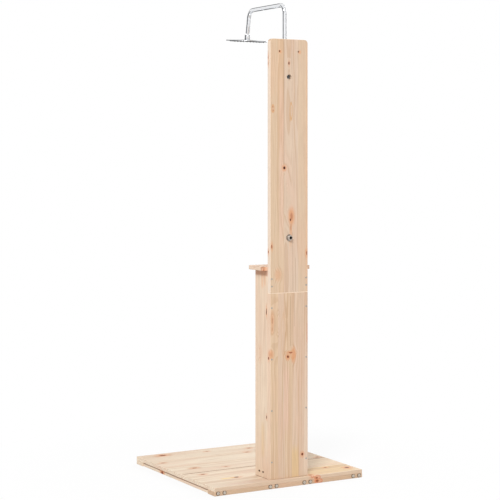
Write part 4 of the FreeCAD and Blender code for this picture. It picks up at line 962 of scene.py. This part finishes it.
stageLook = {"floorSize": 30.0, "floorDrop": 0.0005, "floorGrey": (0.86, 0.86, 0.86, 1),
             "shadow": 0.13, "shadowFrom": 0.7, "shadowTo": 1.4, "world": 0.50, "dullness": 0.9,
             "lampAim": (0, 0, 0.9),
             "lamps": {"key": ((8.4, 9.4, 10.8), 5.0, 1630.0),  # place, size, power
                       "front": ((-7.2, -6.8, 5.4), 6.0, 330.0),
                       "fill": ((0.5, 6.0, 2.0), 3.0, 14.0),
                       "side": ((6.0, 0.5, 2.0), 3.0, 22.0),
                       "right": ((-6.5, -1.0, 5.5), 4.0, 110.0)}}


def seenRay(tree):  # camera, mirror and see-through rays
    path = tree.nodes.new("ShaderNodeLightPath")
    both = sums(tree, "MAXIMUM", path.outputs["Is Camera Ray"], path.outputs["Is Glossy Ray"])
    return sums(tree, "MAXIMUM", both, path.outputs["Is Transmission Ray"])


world = bpy.data.worlds.new("studio")
scene.world = world
world.use_nodes = True
worldTree = world.node_tree
worldTree.nodes.clear()
skyOut = worldTree.nodes.new("ShaderNodeOutputWorld")
skyLight = worldTree.nodes.new("ShaderNodeBackground")
skyLight.inputs["Strength"].default_value = stageLook["world"]
skyWhite = worldTree.nodes.new("ShaderNodeBackground")
skyWhite.inputs["Strength"].default_value = 1.0
for sky in (skyLight, skyWhite):
    sky.inputs["Color"].default_value = (1, 1, 1, 1)
skyMix = worldTree.nodes.new("ShaderNodeMixShader")
plug(worldTree, skyMix.inputs[0], seenRay(worldTree))
plug(worldTree, skyMix.inputs[1], skyLight.outputs[0])
plug(worldTree, skyMix.inputs[2], skyWhite.outputs[0])
plug(worldTree, skyOut.inputs["Surface"], skyMix.outputs[0])

floorMaterial, floorTree, floorSurface = startMaterial("floor", stageLook["floorGrey"],
                                                       stageLook["dullness"], specular=0.0)
floorGlow = floorTree.nodes.new("ShaderNodeEmission")
floorGlow.inputs["Color"].default_value = (1, 1, 1, 1)
floorGlow.inputs["Strength"].default_value = 1.0
floorMix = floorTree.nodes.new("ShaderNodeMixShader")
floorOut = floorTree.nodes["Material Output"]
floorPlace = floorTree.nodes.new("ShaderNodeTexCoord").outputs["Object"]
shadowShare = grade(floorTree, arrows(floorTree, "LENGTH", floorPlace), stageLook["shadowFrom"],
                    stageLook["shadowTo"], stageLook["shadow"], 0.0)
plug(floorTree, floorMix.inputs[0],
     sums(floorTree, "MULTIPLY", seenRay(floorTree), sums(floorTree, "SUBTRACT", 1.0, shadowShare)))
plug(floorTree, floorMix.inputs[1], floorSurface.outputs[0])
plug(floorTree, floorMix.inputs[2], floorGlow.outputs[0])
plug(floorTree, floorOut.inputs["Surface"], floorMix.outputs[0])
floorForm = bmesh.new()
bmesh.ops.create_grid(floorForm, x_segments=1, y_segments=1, size=stageLook["floorSize"] / 2)
floor = madeObject("floor", floorForm, floorMaterial)
floor.location = (0, 0, -stageLook["floorDrop"])


for name, (place, size, power) in stageLook["lamps"].items():
    lampData = bpy.data.lights.new(name, "AREA")
    lampData.shape = "DISK"
    lampData.size = size
    lampData.energy = power
    lamp = bpy.data.objects.new(name, lampData)
    lamp.location = place
    aim = Vector(stageLook["lampAim"]) - Vector(place)
    lamp.rotation_euler = aim.to_track_quat("-Z", "Y").to_euler()
    scene.collection.objects.link(lamp)

# dark cards that only mirrors see, so that the chrome has edges: first and last bearing, bottom, top
cardLook = {"distance": 3.6, "grey": (0.10, 0.10, 0.105, 1), "steps": 6,
            "cards": ((-51.0, 12, -0.2, 4.4), (-128, -82, -0.2, 5.2), (160, 198, -0.2, 6.0),
                      (85, 90, -0.2, 4.4), (112, 128, 1.9, 2.5), (198, 232, 3.5, 5.7))}
cardMaterial = startMaterial("card", cardLook["grey"], stageLook["dullness"], specular=0.0)[0]
cardForm = bmesh.new()
for first, last, bottom, top in cardLook["cards"]:
    edge = [cardForm.verts.new((cardLook["distance"] * math.cos(math.radians(first)),
                                cardLook["distance"] * math.sin(math.radians(first)), height))
            for height in (bottom, top)]
    side = cardForm.edges.new(edge)
    bmesh.ops.spin(cardForm, geom=edge + [side], cent=(0, 0, 0), axis=(0, 0, 1),
                   angle=math.radians(last - first), steps=cardLook["steps"], use_merge=False)
cards = madeObject("cards", cardForm, cardMaterial)
for ray in ("camera", "diffuse", "shadow", "transmission", "volume_scatter"):
    setattr(cards, "visible_" + ray, False)

scene.view_settings.view_transform = "Standard"
print("stage lit")
